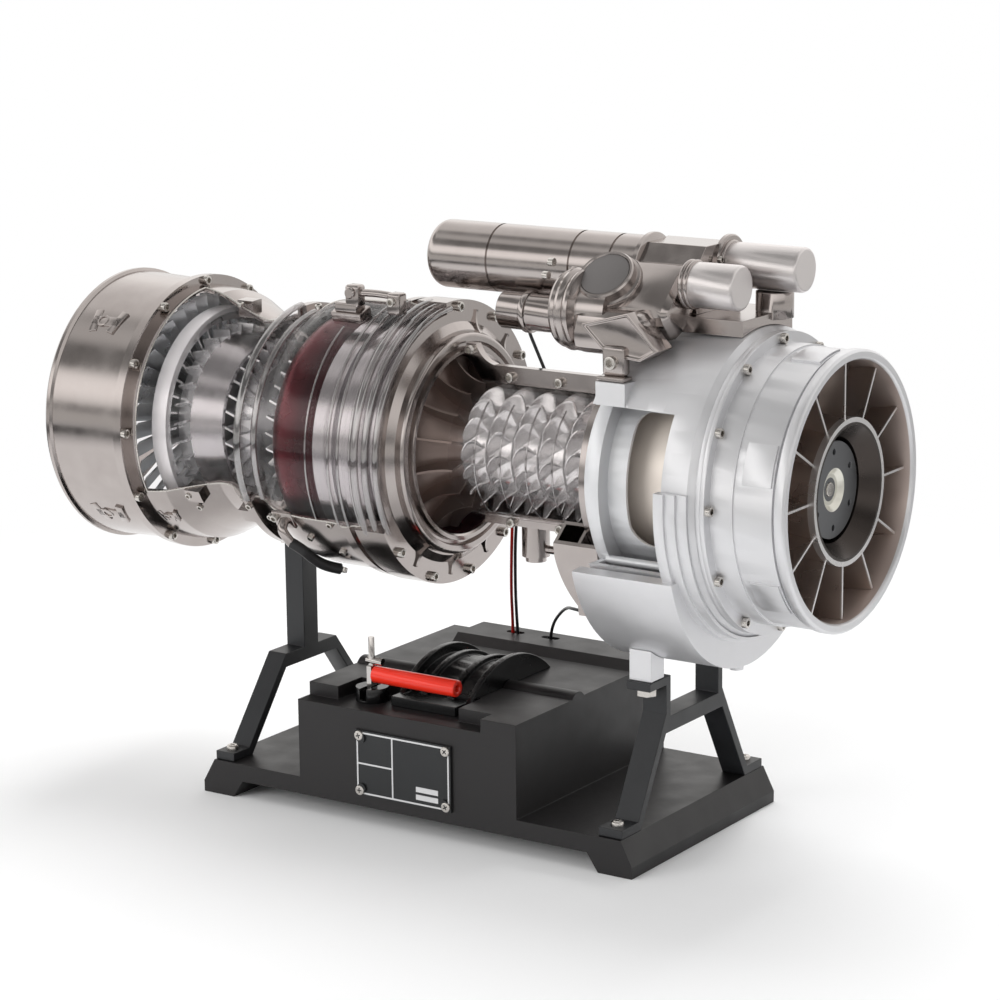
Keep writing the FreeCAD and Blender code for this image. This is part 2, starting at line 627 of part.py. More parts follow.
def radial_plate(body, name, x_rear, x_front, skew, thickness, r_low, height):
    """An upright plate with a slanted section, standing on the top of the axis."""
    sketch = new_sketch(body, name, "XY_Plane", shift=r_low)
    outline(sketch, [
        (x_rear, "%s - %s / 2" % (skew, thickness)),
        (x_front, "0 - %s / 2" % thickness),
        (x_front, "%s / 2" % thickness),
        (x_rear, "%s + %s / 2" % (skew, thickness))])
    return pad(body, sketch, height)


def drill_ring(body, x_high, depth, radius, count, clock="0", sweep="360"):
    """Screw holes parallel to the axis on one pitch circle."""
    sketch = new_sketch(body, "screw_hole", "YZ_Plane", shift=x_high)
    circle(sketch, "0 - (%s) * sin(%s)" % (radius, clock), "(%s) * cos(%s)" % (radius, clock),
           "screw_shank + shell_gap")
    return ring_of(body, [pocket(body, sketch, depth)], count, sweep)


# Moulded base with feet, centre block, lever bay and cable deck
stand = ground_body("stand_base")
sketch = new_sketch(stand, "base_side", "XZ_Plane")
outline(sketch, [
    ("foot_rear", "0"),
    ("foot_rear + foot_length", "0"),
    ("foot_rear + foot_length + foot_slope", "apron_height"),
    ("foot_front - foot_length - foot_slope", "apron_height"),
    ("foot_front - foot_length", "0"),
    ("foot_front", "0"),
    ("foot_front", "foot_height"),
    ("base_front", "base_deck"),
    ("base_rear", "base_deck"),
    ("foot_rear", "foot_height")])
pad(stand, sketch, "base_half_depth * 2", both_sides=True)
add_box(stand, "centre_block", "block_rear", "block_front", "-base_half_depth", "base_half_depth",
        "base_deck - 1", "block_top - base_deck + 1")
along_axis(stand, "cable_deck", "deck_rear", "block_front - deck_rear", [
    ("deck_start", "block_top - 1"),
    ("base_half_depth", "block_top - 1"),
    ("base_half_depth", "block_top + deck_rise"),
    ("deck_start + deck_chamfer", "block_top + deck_rise"),
    ("deck_start", "block_top")])
rod_along_axis(stand, "shaft_cover", "block_rear", "block_front - block_rear", "spine_y",
               "block_top - spine_drop", "spine_radius")
cut_box(stand, "cover_seat", "quadrant_rear - shell_gap", "quadrant_rear + quadrant_length + shell_gap",
        "spine_y - spine_radius", "spine_y + spine_radius", "block_top + spine_radius", "spine_radius")
cut_box(stand, "ledge", "block_rear - 1", "ledge_end", "-base_half_depth - 1", "ledge_depth - base_half_depth",
        "block_top + 1", "block_top + 1 - ledge_top")
cut_box(stand, "lever_bay", "bay_rear", "bay_front", "-base_half_depth - 1", "bay_depth - base_half_depth",
        "block_top + 1", "block_top + 1 - ledge_top")
sketch = new_sketch(stand, "cable_hole", "XY_Plane", shift="block_top + deck_rise")
hole_low = "cable_hole_x - cable_hole_length / 2 + cable_hole_width / 2"
hole_high = "cable_hole_x + cable_hole_length / 2 - cable_hole_width / 2"
hole_near = "cable_hole_y - cable_hole_width / 2"
hole_far = "cable_hole_y + cable_hole_width / 2"
outline(sketch, [
    (hole_low, hole_near, "cable_hole_width / 2", -1),
    (hole_high, hole_near),
    (hole_high, hole_far, "cable_hole_width / 2", -1),
    (hole_low, hole_far)])
hole = pocket(stand, sketch, "cable_hole_depth")
row = stand.newObject("PartDesign::LinearPattern", "HoleRow")
row.Originals = [hole]
row.Direction = (origin_item(stand, "X_Axis"), [""])
row.Occurrences = 2
row.Length = value("cable_hole_pitch")
bind(row, "Length", "cable_hole_pitch")
stand.Tip = row
cut_box(stand, "underside", "block_rear + base_wall", "block_front - base_wall", "base_wall - base_half_depth",
        "base_half_depth - base_wall", "ledge_top - base_wall", "ledge_top - base_wall")

# Bent front frame: foot tabs, sloping legs, crossbar, uprights and support pads
front_legs = ground_body("front_stand_frame")
half = [
    ("leg_foot_y - leg_thickness + 2", "base_deck"),
    ("tab_end", "base_deck"),
    ("tab_end", "base_deck + tab_thickness"),
    ("leg_foot_y", "base_deck + tab_thickness"),
    ("upright_y + upright_thickness", "leg_knee_z"),
    ("upright_y + upright_thickness", "pad_top - pad_thickness"),
    ("pad_end_y", "pad_top - pad_thickness"),
    ("pad_end_y", "pad_top"),
    ("upright_y", "pad_top"),
    ("upright_y", "crossbar_top")]
inner = ("upright_y + upright_thickness", "crossbar_top - crossbar_depth")
left = [("-(%s)" % y, z) for y, z in reversed(half)]
along_axis(front_legs, "frame_section", "front_leg_x", "leg_width",
           half + left + [("-(%s)" % inner[0], inner[1]), inner])

# Rear frame: foot tabs, sloping legs, bar and one column under the turbine neck
rear_legs = ground_body("rear_stand_frame")
half = [
    ("rear_foot_y - leg_thickness + 2", "base_deck"),
    ("tab_end", "base_deck"),
    ("tab_end", "base_deck + tab_thickness"),
    ("rear_foot_y", "base_deck + tab_thickness"),
    ("rear_knee_y", "rear_bar_top"),
    ("column_half", "rear_bar_top"),
    ("column_half", "axis_height - joint_radius + joint_step - 0.3")]
left = [("-(%s)" % y, z) for y, z in reversed(half)]
along_axis(rear_legs, "frame_section", "rear_leg_x", "rear_leg_width",
           half + left + [("-rear_knee_y", "rear_bar_top - rear_bar_thickness"),
                          ("rear_knee_y", "rear_bar_top - rear_bar_thickness")])

# Pan-head screws through the foot tabs
pan = ground_body("pan_screws")
for place in ("front_leg_x + leg_width / 2", "rear_leg_x + rear_leg_width / 2"):
    for side in ("tab_screw_y", "-tab_screw_y"):
        post(pan, "head", place, side, "base_deck + tab_thickness", "pan_head_height", "pan_head")

# Silver blocks that carry the scroll on the pads, and the nuts below them
blocks = engine_body("support_blocks")
for side in ("", "-"):
    low = "support_y - support_width / 2"
    high = "support_y + support_width / 2"
    low_top = "-scroll_drop - sqrt((scroll_radius + shell_gap)^2 - (%s)^2)" % low
    high_top = "-scroll_drop - sqrt((scroll_radius + shell_gap)^2 - (%s)^2)" % high
    bulge = -1 if side else 1
    along_axis(blocks, "block", "front_leg_x + leg_width / 2 - support_width / 2", "support_width", [
        ("%s(%s)" % (side, low), "pad_top - axis_height"),
        ("%s(%s)" % (side, high), "pad_top - axis_height"),
        ("%s(%s)" % (side, high), high_top),
        ("%s(%s)" % (side, low), low_top, "scroll_radius + shell_gap", bulge)])
nuts = ground_body("support_nuts")
for side in ("support_y", "-support_y"):
    sketch = new_sketch(nuts, "nut", "XY_Plane", shift="pad_top - pad_thickness - nut_height")
    corners = []
    for number in range(6):
        turn = 60 * number
        corners.append(("front_leg_x + leg_width / 2 + nut_flats / sqrt(3) * cos(%d)" % turn,
                        "%s + nut_flats / sqrt(3) * sin(%d)" % (side, turn)))
    pad(nuts, outline(sketch, corners), "nut_height")

# Plain nameplate with four small screws on the front of the block
plate = ground_body("nameplate")
sketch = new_sketch(plate, "plate", "XZ_Plane", shift="base_half_depth")
box_outline(sketch, "plate_centre_x - plate_width / 2", "plate_centre_x + plate_width / 2",
            "plate_centre_z - plate_height / 2", "plate_centre_z + plate_height / 2")
pad(plate, sketch, "plate_thickness")
sketch = new_sketch(plate, "plate_heads", "XZ_Plane", shift="base_half_depth + plate_thickness")
for across in ("-", "+"):
    for up in ("-", "+"):
        circle(sketch, "plate_centre_x %s (plate_width / 2 - plate_screw_inset)" % across,
               "plate_centre_z %s (plate_height / 2 - plate_screw_inset)" % up, "plate_head")
pad(plate, sketch, "plate_head_height")

# Ribbed cover beside the start lever
cover = ground_body("quadrant_cover")


def rib(name, start, length, radius):
    """A round-backed rib that steps down into the lever bay."""
    centre = "(quadrant_top - quadrant_radius)"
    front = "quadrant_y - sqrt((%s)^2 - (ledge_top - %s)^2)" % (radius, centre)
    back = "quadrant_y + sqrt((%s)^2 - (block_top - %s)^2)" % (radius, centre)
    return along_axis(cover, name, start, length, [
        (front, "ledge_top", radius, -1),
        ("bay_depth - base_half_depth - shell_gap", "ledge_top"),
        ("bay_depth - base_half_depth - shell_gap", "block_top"),
        (back, "block_top")])


cover_reach = "sqrt((quadrant_radius - rib_root)^2 - (block_top - quadrant_top + quadrant_radius)^2)"
along_axis(cover, "cover", "quadrant_rear", "quadrant_length", [
    ("quadrant_y - " + cover_reach, "block_top", "quadrant_radius - rib_root", -1),
    ("quadrant_y + " + cover_reach, "block_top")])
rib("tall_rib", "quadrant_rear", "rib_width", "quadrant_radius")
rib("low_rib", "quadrant_rear + quadrant_length * 0.22", "rib_width", "quadrant_radius - rib_low")
rib("low_rib", "quadrant_rear + quadrant_length * 0.6", "rib_width", "quadrant_radius - rib_low")
rib("tall_rib", "quadrant_rear + quadrant_length - rib_width", "rib_width", "quadrant_radius")
add_box(cover, "front_step", "quadrant_rear", "quadrant_rear + quadrant_length * 0.9",
        "quadrant_y - quadrant_radius + 4", "quadrant_y - quadrant_radius * 0.6", "ledge_top", "rib_root")

# Lever boss with its slot, the lever with its cross screw, and the red grip
boss = ground_body("lever_boss")
post(boss, "boss", "lever_x", "lever_y", "ledge_top", "boss_height", "boss_radius")
cut_box(boss, "slot", "lever_x - boss_slot_half", "lever_x + boss_slot_half", "lever_y - boss_radius - 1",
        "lever_y + boss_radius + 1", "ledge_top + boss_height", "boss_height - 0.8")
lever = ground_body("start_lever")
sketch = new_sketch(lever, "blade", "YZ_Plane", shift="lever_x - lever_thickness / 2")
outline(sketch, [
    ("lever_y - lever_thickness", "lever_pivot_z", "lever_thickness", 1),
    ("lever_y - lever_thickness", "grip_z + grip_radius"),
    ("lever_y + lever_thickness", "grip_z + grip_radius"),
    ("lever_y + lever_thickness", "lever_pivot_z")])
pad(lever, sketch, "lever_thickness")
rod_along_axis(lever, "grip_core", "lever_x", "grip_length * 0.8", "lever_y", "grip_z", "lever_rod")
rod_along_axis(lever, "cross_screw", "lever_x - lever_thickness", "lever_thickness * 3.6", "lever_y",
               "grip_z + grip_radius + lever_rod * 1.6", "lever_rod * 1.2")
post(lever, "rod", "lever_x", "lever_y", "grip_z", "lever_top - grip_z", "lever_rod")
grip = ground_body("lever_grip")
sketch = new_sketch(grip, "grip_section", "YZ_Plane", shift="lever_x + lever_rod + shell_gap")
circle(sketch, "lever_y", "grip_z", "grip_radius")
circle(sketch, "lever_y", "grip_z", "lever_rod + shell_gap")
pad(grip, sketch, "grip_length")

# Open exhaust duct with its rolled rear lip and bolted front flange
exhaust_pipe = turned("exhaust_duct", [
    ("exhaust_joint", "duct_radius - duct_taper - duct_wall"),
    ("exhaust_rear + bead_radius * 2", "duct_radius - duct_wall"),
    ("exhaust_rear + bead_radius", "lip_radius - bead_radius * 2"),
    ("exhaust_rear", "lip_radius - bead_radius * 1.5"),
    ("exhaust_rear", "lip_radius - bead_radius * 0.5"),
    ("exhaust_rear + bead_radius * 0.7", "lip_radius"),
    ("exhaust_rear + bead_radius * 1.6", "lip_radius"),
    ("exhaust_rear + bead_radius * 2", "duct_radius"),
    ("exhaust_joint - flange_thickness", "duct_radius - duct_taper"),
    ("exhaust_joint - flange_thickness", "flange_radius"),
    ("exhaust_joint", "flange_radius")])
drill_ring(exhaust_pipe, "exhaust_joint", "flange_thickness", "flange_screw_radius", "flange_screws")

# Tail body on radial struts, plugged into the front of the duct
exhaust = engine_body("exhaust_frame")
sketch = new_sketch(exhaust, "tail_body", "XZ_Plane")
outline(sketch, [
    ("strut_front", "power_shaft_radius + bearing_wall + shell_gap"),
    ("strut_front", "tail_radius"),
    ("strut_front - strut_chord - 1", "tail_radius"),
    ("tail_rear", "tail_radius * 0.6"),
    ("tail_rear", "0"),
    ("shaft_rear - 1.5", "0"),
    ("shaft_rear - 1.5", "power_shaft_radius + bearing_wall + shell_gap")])
spin(exhaust, sketch)
sleeve = "duct_radius - duct_taper - duct_wall - shell_gap"
band(exhaust, "sleeve", "strut_front - strut_chord", "strut_front", sleeve + " - casing_wall", sleeve)
strut = radial_plate(exhaust, "strut", "strut_front - strut_chord", "strut_front", "0", "strut_thickness",
                     "tail_radius - 1", sleeve + " - casing_wall / 2 - tail_radius + 1")
ring_of(exhaust, [strut], "strut_count")

# Power turbine shaft running forward through the core to the output coupling
shaft = turned("power_shaft", [
    ("shaft_rear", "0"), ("shaft_front", "0"), ("shaft_front", "power_shaft_radius"),
    ("shaft_rear", "power_shaft_radius")])

# Two power turbine stages, the front one with a light tip shroud
for label, rear, length, tip, skew in (
        ("power_turbine_stage_1", "stage_one_rear", "stage_one_length", "stage_one_radius - shroud_thickness / 2", "1.2"),
        ("power_turbine_stage_2", "stage_two_rear", "stage_two_length", "stage_two_radius", "1.6")):
    stage = engine_body(label)
    band(stage, "disc", rear, "%s + %s" % (rear, length), "power_shaft_radius + shell_gap", "power_hub_radius")
    blade = radial_plate(stage, "blade", rear, "%s + %s" % (rear, length), skew, "turbine_blade",
                         "power_hub_radius - 0.5", "%s - power_hub_radius + 0.5" % tip)
    ring_of(stage, [blade], "power_blades")
    if label.endswith("1"):
        band(stage, "shroud", rear, "%s + %s" % (rear, length), "stage_one_radius - shroud_thickness",
             "stage_one_radius")

# Nozzle vane ring in front of the power turbine
nozzle = engine_body("turbine_nozzle")
band(nozzle, "ring", "nozzle_front - nozzle_length", "nozzle_front", "nozzle_radius * 0.72", "nozzle_radius - 2.6")
vane = radial_plate(nozzle, "vane", "nozzle_front - nozzle_length", "nozzle_front", "-1.6", "turbine_blade",
                    "nozzle_radius - 3.2", "3.1")
ring_of(nozzle, [vane], "nozzle_vanes")

# Hot duct between the core turbine and the power turbine, held by struts on the hidden side
duct = turned("turbine_duct", [
    ("nozzle_front", "turbine_duct_radius - turbine_wall"),
    ("turbine_duct_front", "turbine_duct_front_radius - turbine_wall"),
    ("turbine_duct_front", "turbine_duct_front_radius"),
    ("nozzle_front", "turbine_duct_radius")])
band(duct, "web", "duct_web_x", "duct_web_x + bearing_width", "core_shaft_radius + bearing_wall + shell_gap",
     "turbine_duct_front_radius - turbine_wall / 2")
band(duct, "register", "nozzle_front - 3", "nozzle_front + 1", "nozzle_radius * 0.72 - 1.2",
     "nozzle_radius * 0.72 - shell_gap")
band(duct, "shoulder", "nozzle_front", "nozzle_front + 1", "nozzle_radius * 0.72 - 1.2",
     "turbine_duct_radius - turbine_wall / 2")
duct_strut = band(
    duct, "strut", "(neck_rear + cone_mid) / 2 - 2", "(neck_rear + cone_mid) / 2", "turbine_duct_front_radius",
    "(neck_radius + cone_mid_radius) / 2 - casing_wall - shell_gap * 4", "window_centre + 100", "2.8")
ring_of(duct, [duct_strut], "4", "150")

# Nickel turbine casing: bolted rear rings and a cone that is cut away towards the viewer
casing = engine_body("turbine_casing")
sketch = new_sketch(casing, "rear_rings", "XZ_Plane")
outline(sketch, [
    ("exhaust_joint", "cone_rear_radius - casing_wall"),
    ("exhaust_joint", "flange_radius"),
    ("exhaust_joint + flange_thickness", "flange_radius"),
    ("exhaust_joint + flange_thickness", "cone_rear_radius"),
    ("cone_step - 1.5", "cone_rear_radius"),
    ("cone_step - 1.5", "cone_rear_radius - casing_wall")])
spin(casing, sketch)
drill_ring(casing, "exhaust_joint + flange_thickness", "flange_thickness", "flange_screw_radius", "flange_screws")
cone = [
    ("cone_step - 1.5", "cone_rear_radius - casing_wall - 0.2"),
    ("cone_step - 1.5", "cone_rear_radius"),
    ("cone_step + 6", "cone_rear_radius - 1"),
    ("cone_mid", "cone_mid_radius"),
    ("neck_rear", "neck_radius"),
    ("neck_x", "neck_radius"),
    ("turbine_joint - 2.5", "joint_radius - joint_step"),
    ("turbine_joint - 1", "joint_radius - joint_step"),
    ("turbine_joint - 1", "joint_radius"),
    ("turbine_joint", "joint_radius"),
    ("turbine_joint", "joint_radius - joint_step - casing_wall"),
    ("turbine_joint - 2.1", "joint_radius - joint_step - casing_wall"),
    ("neck_x", "neck_radius - casing_wall"),
    ("neck_rear", "neck_radius - casing_wall"),
    ("cone_mid", "cone_mid_radius - casing_wall"),
    ("cone_step + 6", "cone_rear_radius - casing_wall - 1")]
sketch = outline(new_sketch(casing, "cone", "XZ_Plane", clock="window_centre + 180"), cone)
spin(casing, sketch, "360 - window_sweep - 1")
for clock in ("window_centre + window_sweep / 2 + 4", "window_centre - window_sweep / 2 - 4"):
    band(casing, "lug", "cone_mid", "cone_mid + 6", "neck_radius + 0.5", "cone_mid_radius + 1.5", clock, "7")
lug = band(casing, "boss", "turbine_joint - 5", "turbine_joint - 1", "joint_radius - joint_step - 2",
           "joint_radius", "window_centre + window_sweep / 2 + 12", "8")
ring_of(casing, [lug], "6", "195")

# Clear cut-away window of the turbine section
window = [("cone_step", "cone_rear_radius - casing_wall"), ("cone_step", "cone_rear_radius")] + cone[2:]
turned("turbine_window", window, "window_sweep", "window_centre")

# Core turbine: two bladed discs on a common hub
core = engine_body("gas_generator_turbine")
band(core, "hub", "core_stage_two", "core_stage_one + core_stage_length", "core_shaft_radius + shell_gap",
     "core_turbine_hub * 0.45")
for rear in ("core_stage_one", "core_stage_two"):
    band(core, "disc", rear, rear + " + core_stage_length", "core_turbine_hub * 0.4", "core_turbine_hub")
    blade = radial_plate(core, "blade", rear, rear + " + core_stage_length", "1.7", "turbine_blade",
                         "core_turbine_hub - 0.6", "core_turbine_radius - core_turbine_hub + 0.5")
    ring_of(core, [blade], "core_turbine_blades")

# Combustor shell: a bolted rear flange, a round barrel with a hoop and a sloping front rim
barrel = [
    ("turbine_joint", "burner_rear_radius - casing_wall"),
    ("turbine_joint", "joint_radius"),
    ("turbine_joint + joint_thickness", "joint_radius"),
    ("turbine_joint + joint_thickness", "burner_rear_radius"),
    ("barrel_rear", "burner_rear_radius"),
    ("barrel_start", "burner_radius", "barrel_sweep", 1),
    ("rib_rear", "burner_radius"),
    ("rib_rear", "burner_radius + rib_height"),
    ("rib_rear + rib_length", "burner_radius + rib_height"),
    ("rib_rear + rib_length", "burner_radius"),
    ("barrel_end", "burner_radius"),
    ("burner_front", "burner_front_radius"),
    ("burner_front", "burner_front_radius - casing_wall"),
    ("barrel_end", "burner_radius - casing_wall"),
    ("barrel_start", "burner_radius - casing_wall"),
    ("barrel_rear", "burner_rear_radius - casing_wall", "barrel_sweep", -1)]
burner = turned("combustor_casing", barrel, "360 - burner_window_sweep - 1", "window_centre + 180")
band(burner, "rim", "rim_rear", "burner_front", "burner_front_radius - casing_wall / 2", "rim_radius",
     "window_centre + 180", "360 - burner_window_sweep - 1")
drill_ring(burner, "burner_front", "4", "rim_screw_radius", "rim_screws", "rim_first", "rim_pitch * (rim_screws - 1)")
turned("combustor_window", barrel, "burner_window_sweep", "window_centre")

# Dark red burner liner, closed at the back except for the shaft opening
turned("combustor_liner", [
    ("liner_rear", "liner_mouth"),
    ("liner_rear", "liner_rear_radius"),
    ("liner_shoulder", "liner_radius", "liner_round", 1),
    ("liner_front", "liner_radius"),
    ("liner_front", "liner_radius - liner_wall"),
    ("liner_shoulder", "liner_radius - liner_wall"),
    ("liner_rear + liner_wall", "liner_rear_radius - liner_wall", "liner_round", -1),
    ("liner_rear + liner_wall", "liner_mouth")])

# Grey and silver bands on the sleeve that carries the liner
sleeve_radius = "liner_radius - liner_wall - shell_gap"
grey_end = "liner_front + shell_gap + band_length"
silver_start = "liner_front + shell_gap + band_length + band_gap"
turned("liner_bands", [
    ("liner_front - 3", sleeve_radius + " - casing_wall"),
    ("liner_front - 3", sleeve_radius),
    ("liner_front + shell_gap", sleeve_radius),
    ("liner_front + shell_gap", "liner_radius"),
    (grey_end, "liner_radius"),
    (grey_end, sleeve_radius),
    (silver_start, sleeve_radius),
    (silver_start, "liner_radius"),
    (silver_start + " + front_band_length", "liner_radius"),
    (silver_start + " + front_band_length", sleeve_radius),
    ("burner_front - shell_gap", sleeve_radius),
    ("burner_front - shell_gap", sleeve_radius + " - casing_wall")])

# Diffuser case closing the front of the combustor around the compressor outlet
diffuser = turned("diffuser_case", [
    ("burner_front", "burner_front_radius - 4.5"),
    ("burner_front", "burner_front_radius + 1"),
    ("diffuser_flange_front", "burner_front_radius + 1"),
    ("diffuser_flange_front", "burner_front_radius - 2"),
    ("diffuser_face - 2.6", "diffuser_mouth + 6.8"),
    ("diffuser_face - 2.6", "diffuser_mouth + 6.2"),
    ("diffuser_face - 1.2", "diffuser_mouth + 6.2"),
    ("diffuser_face", "diffuser_mouth + 5", "1.2", 1),
    ("diffuser_face", "diffuser_mouth + 3.6"),
    ("diffuser_face - 1.4", "diffuser_mouth + 3"),
    ("diffuser_face - 1.4", "diffuser_mouth + 2.2"),
    ("diffuser_face + 0.6", "diffuser_mouth + 1.8"),
    ("diffuser_face + 0.6", "diffuser_mouth + 0.6"),
    ("diffuser_face", "diffuser_mouth"),
    ("diffuser_face - casing_wall", "diffuser_mouth"),
    ("diffuser_face - casing_wall - 2", "diffuser_mouth + 4")])
band(diffuser, "rim", "burner_front", "diffuser_flange_front", "burner_front_radius - 2", "rim_radius",
     "window_centre + 180", "360 - burner_window_sweep - 1")
drill_ring(diffuser, "diffuser_flange_front", "diffuser_flange_front - burner_front", "rim_screw_radius",
           "rim_screws", "rim_first", "rim_pitch * (rim_screws - 1)")
sketch = new_sketch(diffuser, "gusset", "XZ_Plane", clock="rim_first + rim_pitch / 2")
outline(sketch, [
    ("diffuser_flange_front - 0.5", "burner_front_radius - 4"),
    ("diffuser_flange_front - 0.5", "burner_front_radius + gusset_height"),
    ("diffuser_flange_front + 0.6", "burner_front_radius + gusset_height"),
    ("diffuser_face - 1", "diffuser_mouth + 6", "8", -1),
    ("diffuser_face - 1.5", "diffuser_mouth + 4")])
gusset = pad(diffuser, sketch, "gusset_thickness", both_sides=True)
ring_of(diffuser, [gusset], "rim_screws - 1", "rim_pitch * (rim_screws - 2)")

# Compressor drum with the hollow core shaft
turned("compressor_drum", [
    ("duct_web_x - 1.5", "core_bore"),
    ("duct_web_x - 1.5", "core_shaft_radius"),
    ("stage_start", "core_shaft_radius"),
    ("stage_start", "drum_radius"),
    ("stage_start + stage_pitch * stage_count", "drum_radius"),
    ("stage_start + stage_pitch * stage_count", "core_shaft_radius"),
    ("core_shaft_front", "core_shaft_radius"),
    ("core_shaft_front", "core_bore")])

# Five compressor stages of broad overlapping blades
for number in range(5):
    stage = engine_body("compressor_stage_%d" % (number + 1))
    rear = "stage_start + stage_pitch * %d" % number
    band(stage, "hub", rear, rear + " + stage_pitch - shell_gap * 2", "drum_radius + shell_gap", "hub_radius")
    middle = rear + " + stage_pitch / 2 - shell_gap"
    sections = []
    for height, lean in (("hub_radius - 0.6", "0"), ("blade_crest", "blade_lean")):
        sketch = new_sketch(stage, "blade_section", "XY_Plane", shift=height)
        reach = "blade_chord / 2"
        corners = []
        for along, across in ((-1, -1), (1, -1), (1, 1), (-1, 1)):
            corners.append((
                "%s + %d * %s * cos(blade_stagger) - %d * blade_thickness / 2 * sin(blade_stagger)"
                % (middle, along, reach, across),
                "%s + %d * %s * sin(blade_stagger) + %d * blade_thickness / 2 * cos(blade_stagger)"
                % (lean, along, reach, across)))
        sections.append(outline(sketch, corners))
    ring_of(stage, [loft(stage, sections[0], sections[1])], "stage_blades")

# Centrifugal impeller behind the axial stages
impeller = turned("impeller", [
    ("impeller_rear", "core_shaft_radius + shell_gap"),
    ("impeller_rear", "impeller_tip"),
    ("impeller_rear + 1.4", "impeller_tip"),
    ("stage_start - shell_gap * 3", "drum_radius", "impeller_sweep", -1),
    ("stage_start - shell_gap * 3", "core_shaft_radius + shell_gap")])
sketch = new_sketch(impeller, "blade", "XZ_Plane", shift="-blade_thickness / 2")
outline(sketch, [
    ("impeller_rear + 1", "impeller_tip - 8"),
    ("impeller_rear + 1", "impeller_tip"),
    ("impeller_rear + 4", "impeller_tip"),
    ("stage_start - shell_gap * 3", "compressor_radius - blade_gap", "impeller_sweep * 0.8", -1),
    ("stage_start - shell_gap * 3", "drum_radius - 1")])
vane = pad(impeller, sketch, "blade_thickness")
ring_of(impeller, [vane], "impeller_blades")

# Far half of the compressor casing with the split-line strips and its end rings
compressor = turned("compressor_casing", [
    ("compressor_rear", "compressor_radius"),
    ("compressor_rear", "compressor_radius + compressor_wall + 3"),
    ("compressor_rear + 1.5", "compressor_radius + compressor_wall + 3"),
    ("compressor_rear + 1.5", "compressor_radius + compressor_wall"),
    ("compressor_front", "compressor_radius + compressor_wall"),
    ("compressor_front", "compressor_radius")], "180", "270")
lug_end = [
    ("compressor_rear - 6", "strip_top + 2"),
    ("compressor_rear - 6", "strip_top + 5.8"),
    ("compressor_rear - 2.5", "strip_top + 5.8"),
    ("compressor_rear + 4", "strip_top", "9", -1)]
for side, low, high, rear_end in (
        ("", "strip_bottom - 0.6", "strip_top", lug_end),
        ("-", "strip_bottom - 0.6", "strip_top - 2.2", [("compressor_rear", "2.2 - strip_top")])):
    sketch = new_sketch(compressor, "strip", "XZ_Plane")
    outline(sketch, [("compressor_rear", "%s(%s)" % (side, low))] + rear_end + [
        ("compressor_front - 11", "%s(%s)" % (side, high)),
        ("compressor_front - 8", "%s(%s + 2.4)" % (side, high)),
        ("compressor_front", "%s(%s + 2.4)" % (side, high)),
        ("compressor_front", "%s(%s)" % (side, low))])
    pad(compressor, sketch, "strip_half * 2", both_sides=True)
strip_screws = [("compressor_rear - 4.2", "strip_top + 3.9")]
for side in ("", "-"):
    for count in (0, 1):
        strip_screws.append(("strip_screw_x + strip_screw_pitch * %d" % count, side + "strip_screw_z"))
for along, up in strip_screws:
    sketch = new_sketch(compressor, "screw_hole", "XZ_Plane")
    circle(sketch, along, up, "screw_shank + shell_gap")
    pocket(compressor, sketch, "strip_half * 3", both_sides=True)
post(compressor, "sump", "sump_x", "sump_y", "1.6 - sump_depth", "sump_depth - compressor_radius - 1.7", "sump_radius")
post(compressor, "sump_end", "sump_x", "sump_y", "-sump_depth", "3", "sump_radius - 1.1")
rod_along_axis(compressor, "sump_pipe", "sump_x", "sump_radius * 2.6", "sump_y", "4 - sump_depth", "sump_radius * 0.3")
band(compressor, "front_ring", "compressor_front", "compressor_front + 2", "compressor_radius", "inner_barrel_radius - 1")
turned("compressor_window", [
    ("compressor_rear", "compressor_radius"),
    ("compressor_rear", "compressor_radius + compressor_wall"),
    ("compressor_front - shell_gap", "compressor_radius + compressor_wall"),
    ("compressor_front - shell_gap", "compressor_radius")], "180 - strip_half * 6.6", "90")

# Front frame: rear wall, tapering barrel cut away towards the viewer, inlet flange and clamp pad
frame = turned("front_frame", [
    ("frame_rear", "ring_radius + shell_gap"),
    ("frame_rear", "frame_rear_radius"),
    ("frame_front", "frame_radius"),
    ("inlet_joint - inlet_flange", "inlet_flange_radius - 0.8"),
    ("inlet_joint - inlet_flange", "inlet_flange_radius"),
    ("inlet_joint", "inlet_flange_radius"),
    ("inlet_joint", "inlet_bore"),
    ("inlet_joint - inlet_flange", "inlet_bore"),
    ("inlet_joint - inlet_flange", "frame_radius - frame_wall * 1.5"),
    ("frame_rear + frame_wall", "frame_rear_radius - frame_wall"),
    ("frame_rear + frame_wall", "ring_radius + shell_gap")])
sketch = new_sketch(frame, "window", "XZ_Plane", shift="frame_radius + 2")
box_outline(sketch, "frame_rear - 1", "window_front", "window_bottom", "window_top")
pocket(frame, sketch, "frame_radius - 4")
add_box(frame, "clamp_pad", "bracket_x + 0.4", "bracket_x + bracket_length + 1", "bracket_y - 2.9",
        "bracket_y + 3", "window_top", "bracket_z - shell_gap - window_top")
drill_ring(frame, "inlet_joint", "inlet_flange", "inlet_screw_radius", "flange_screws")

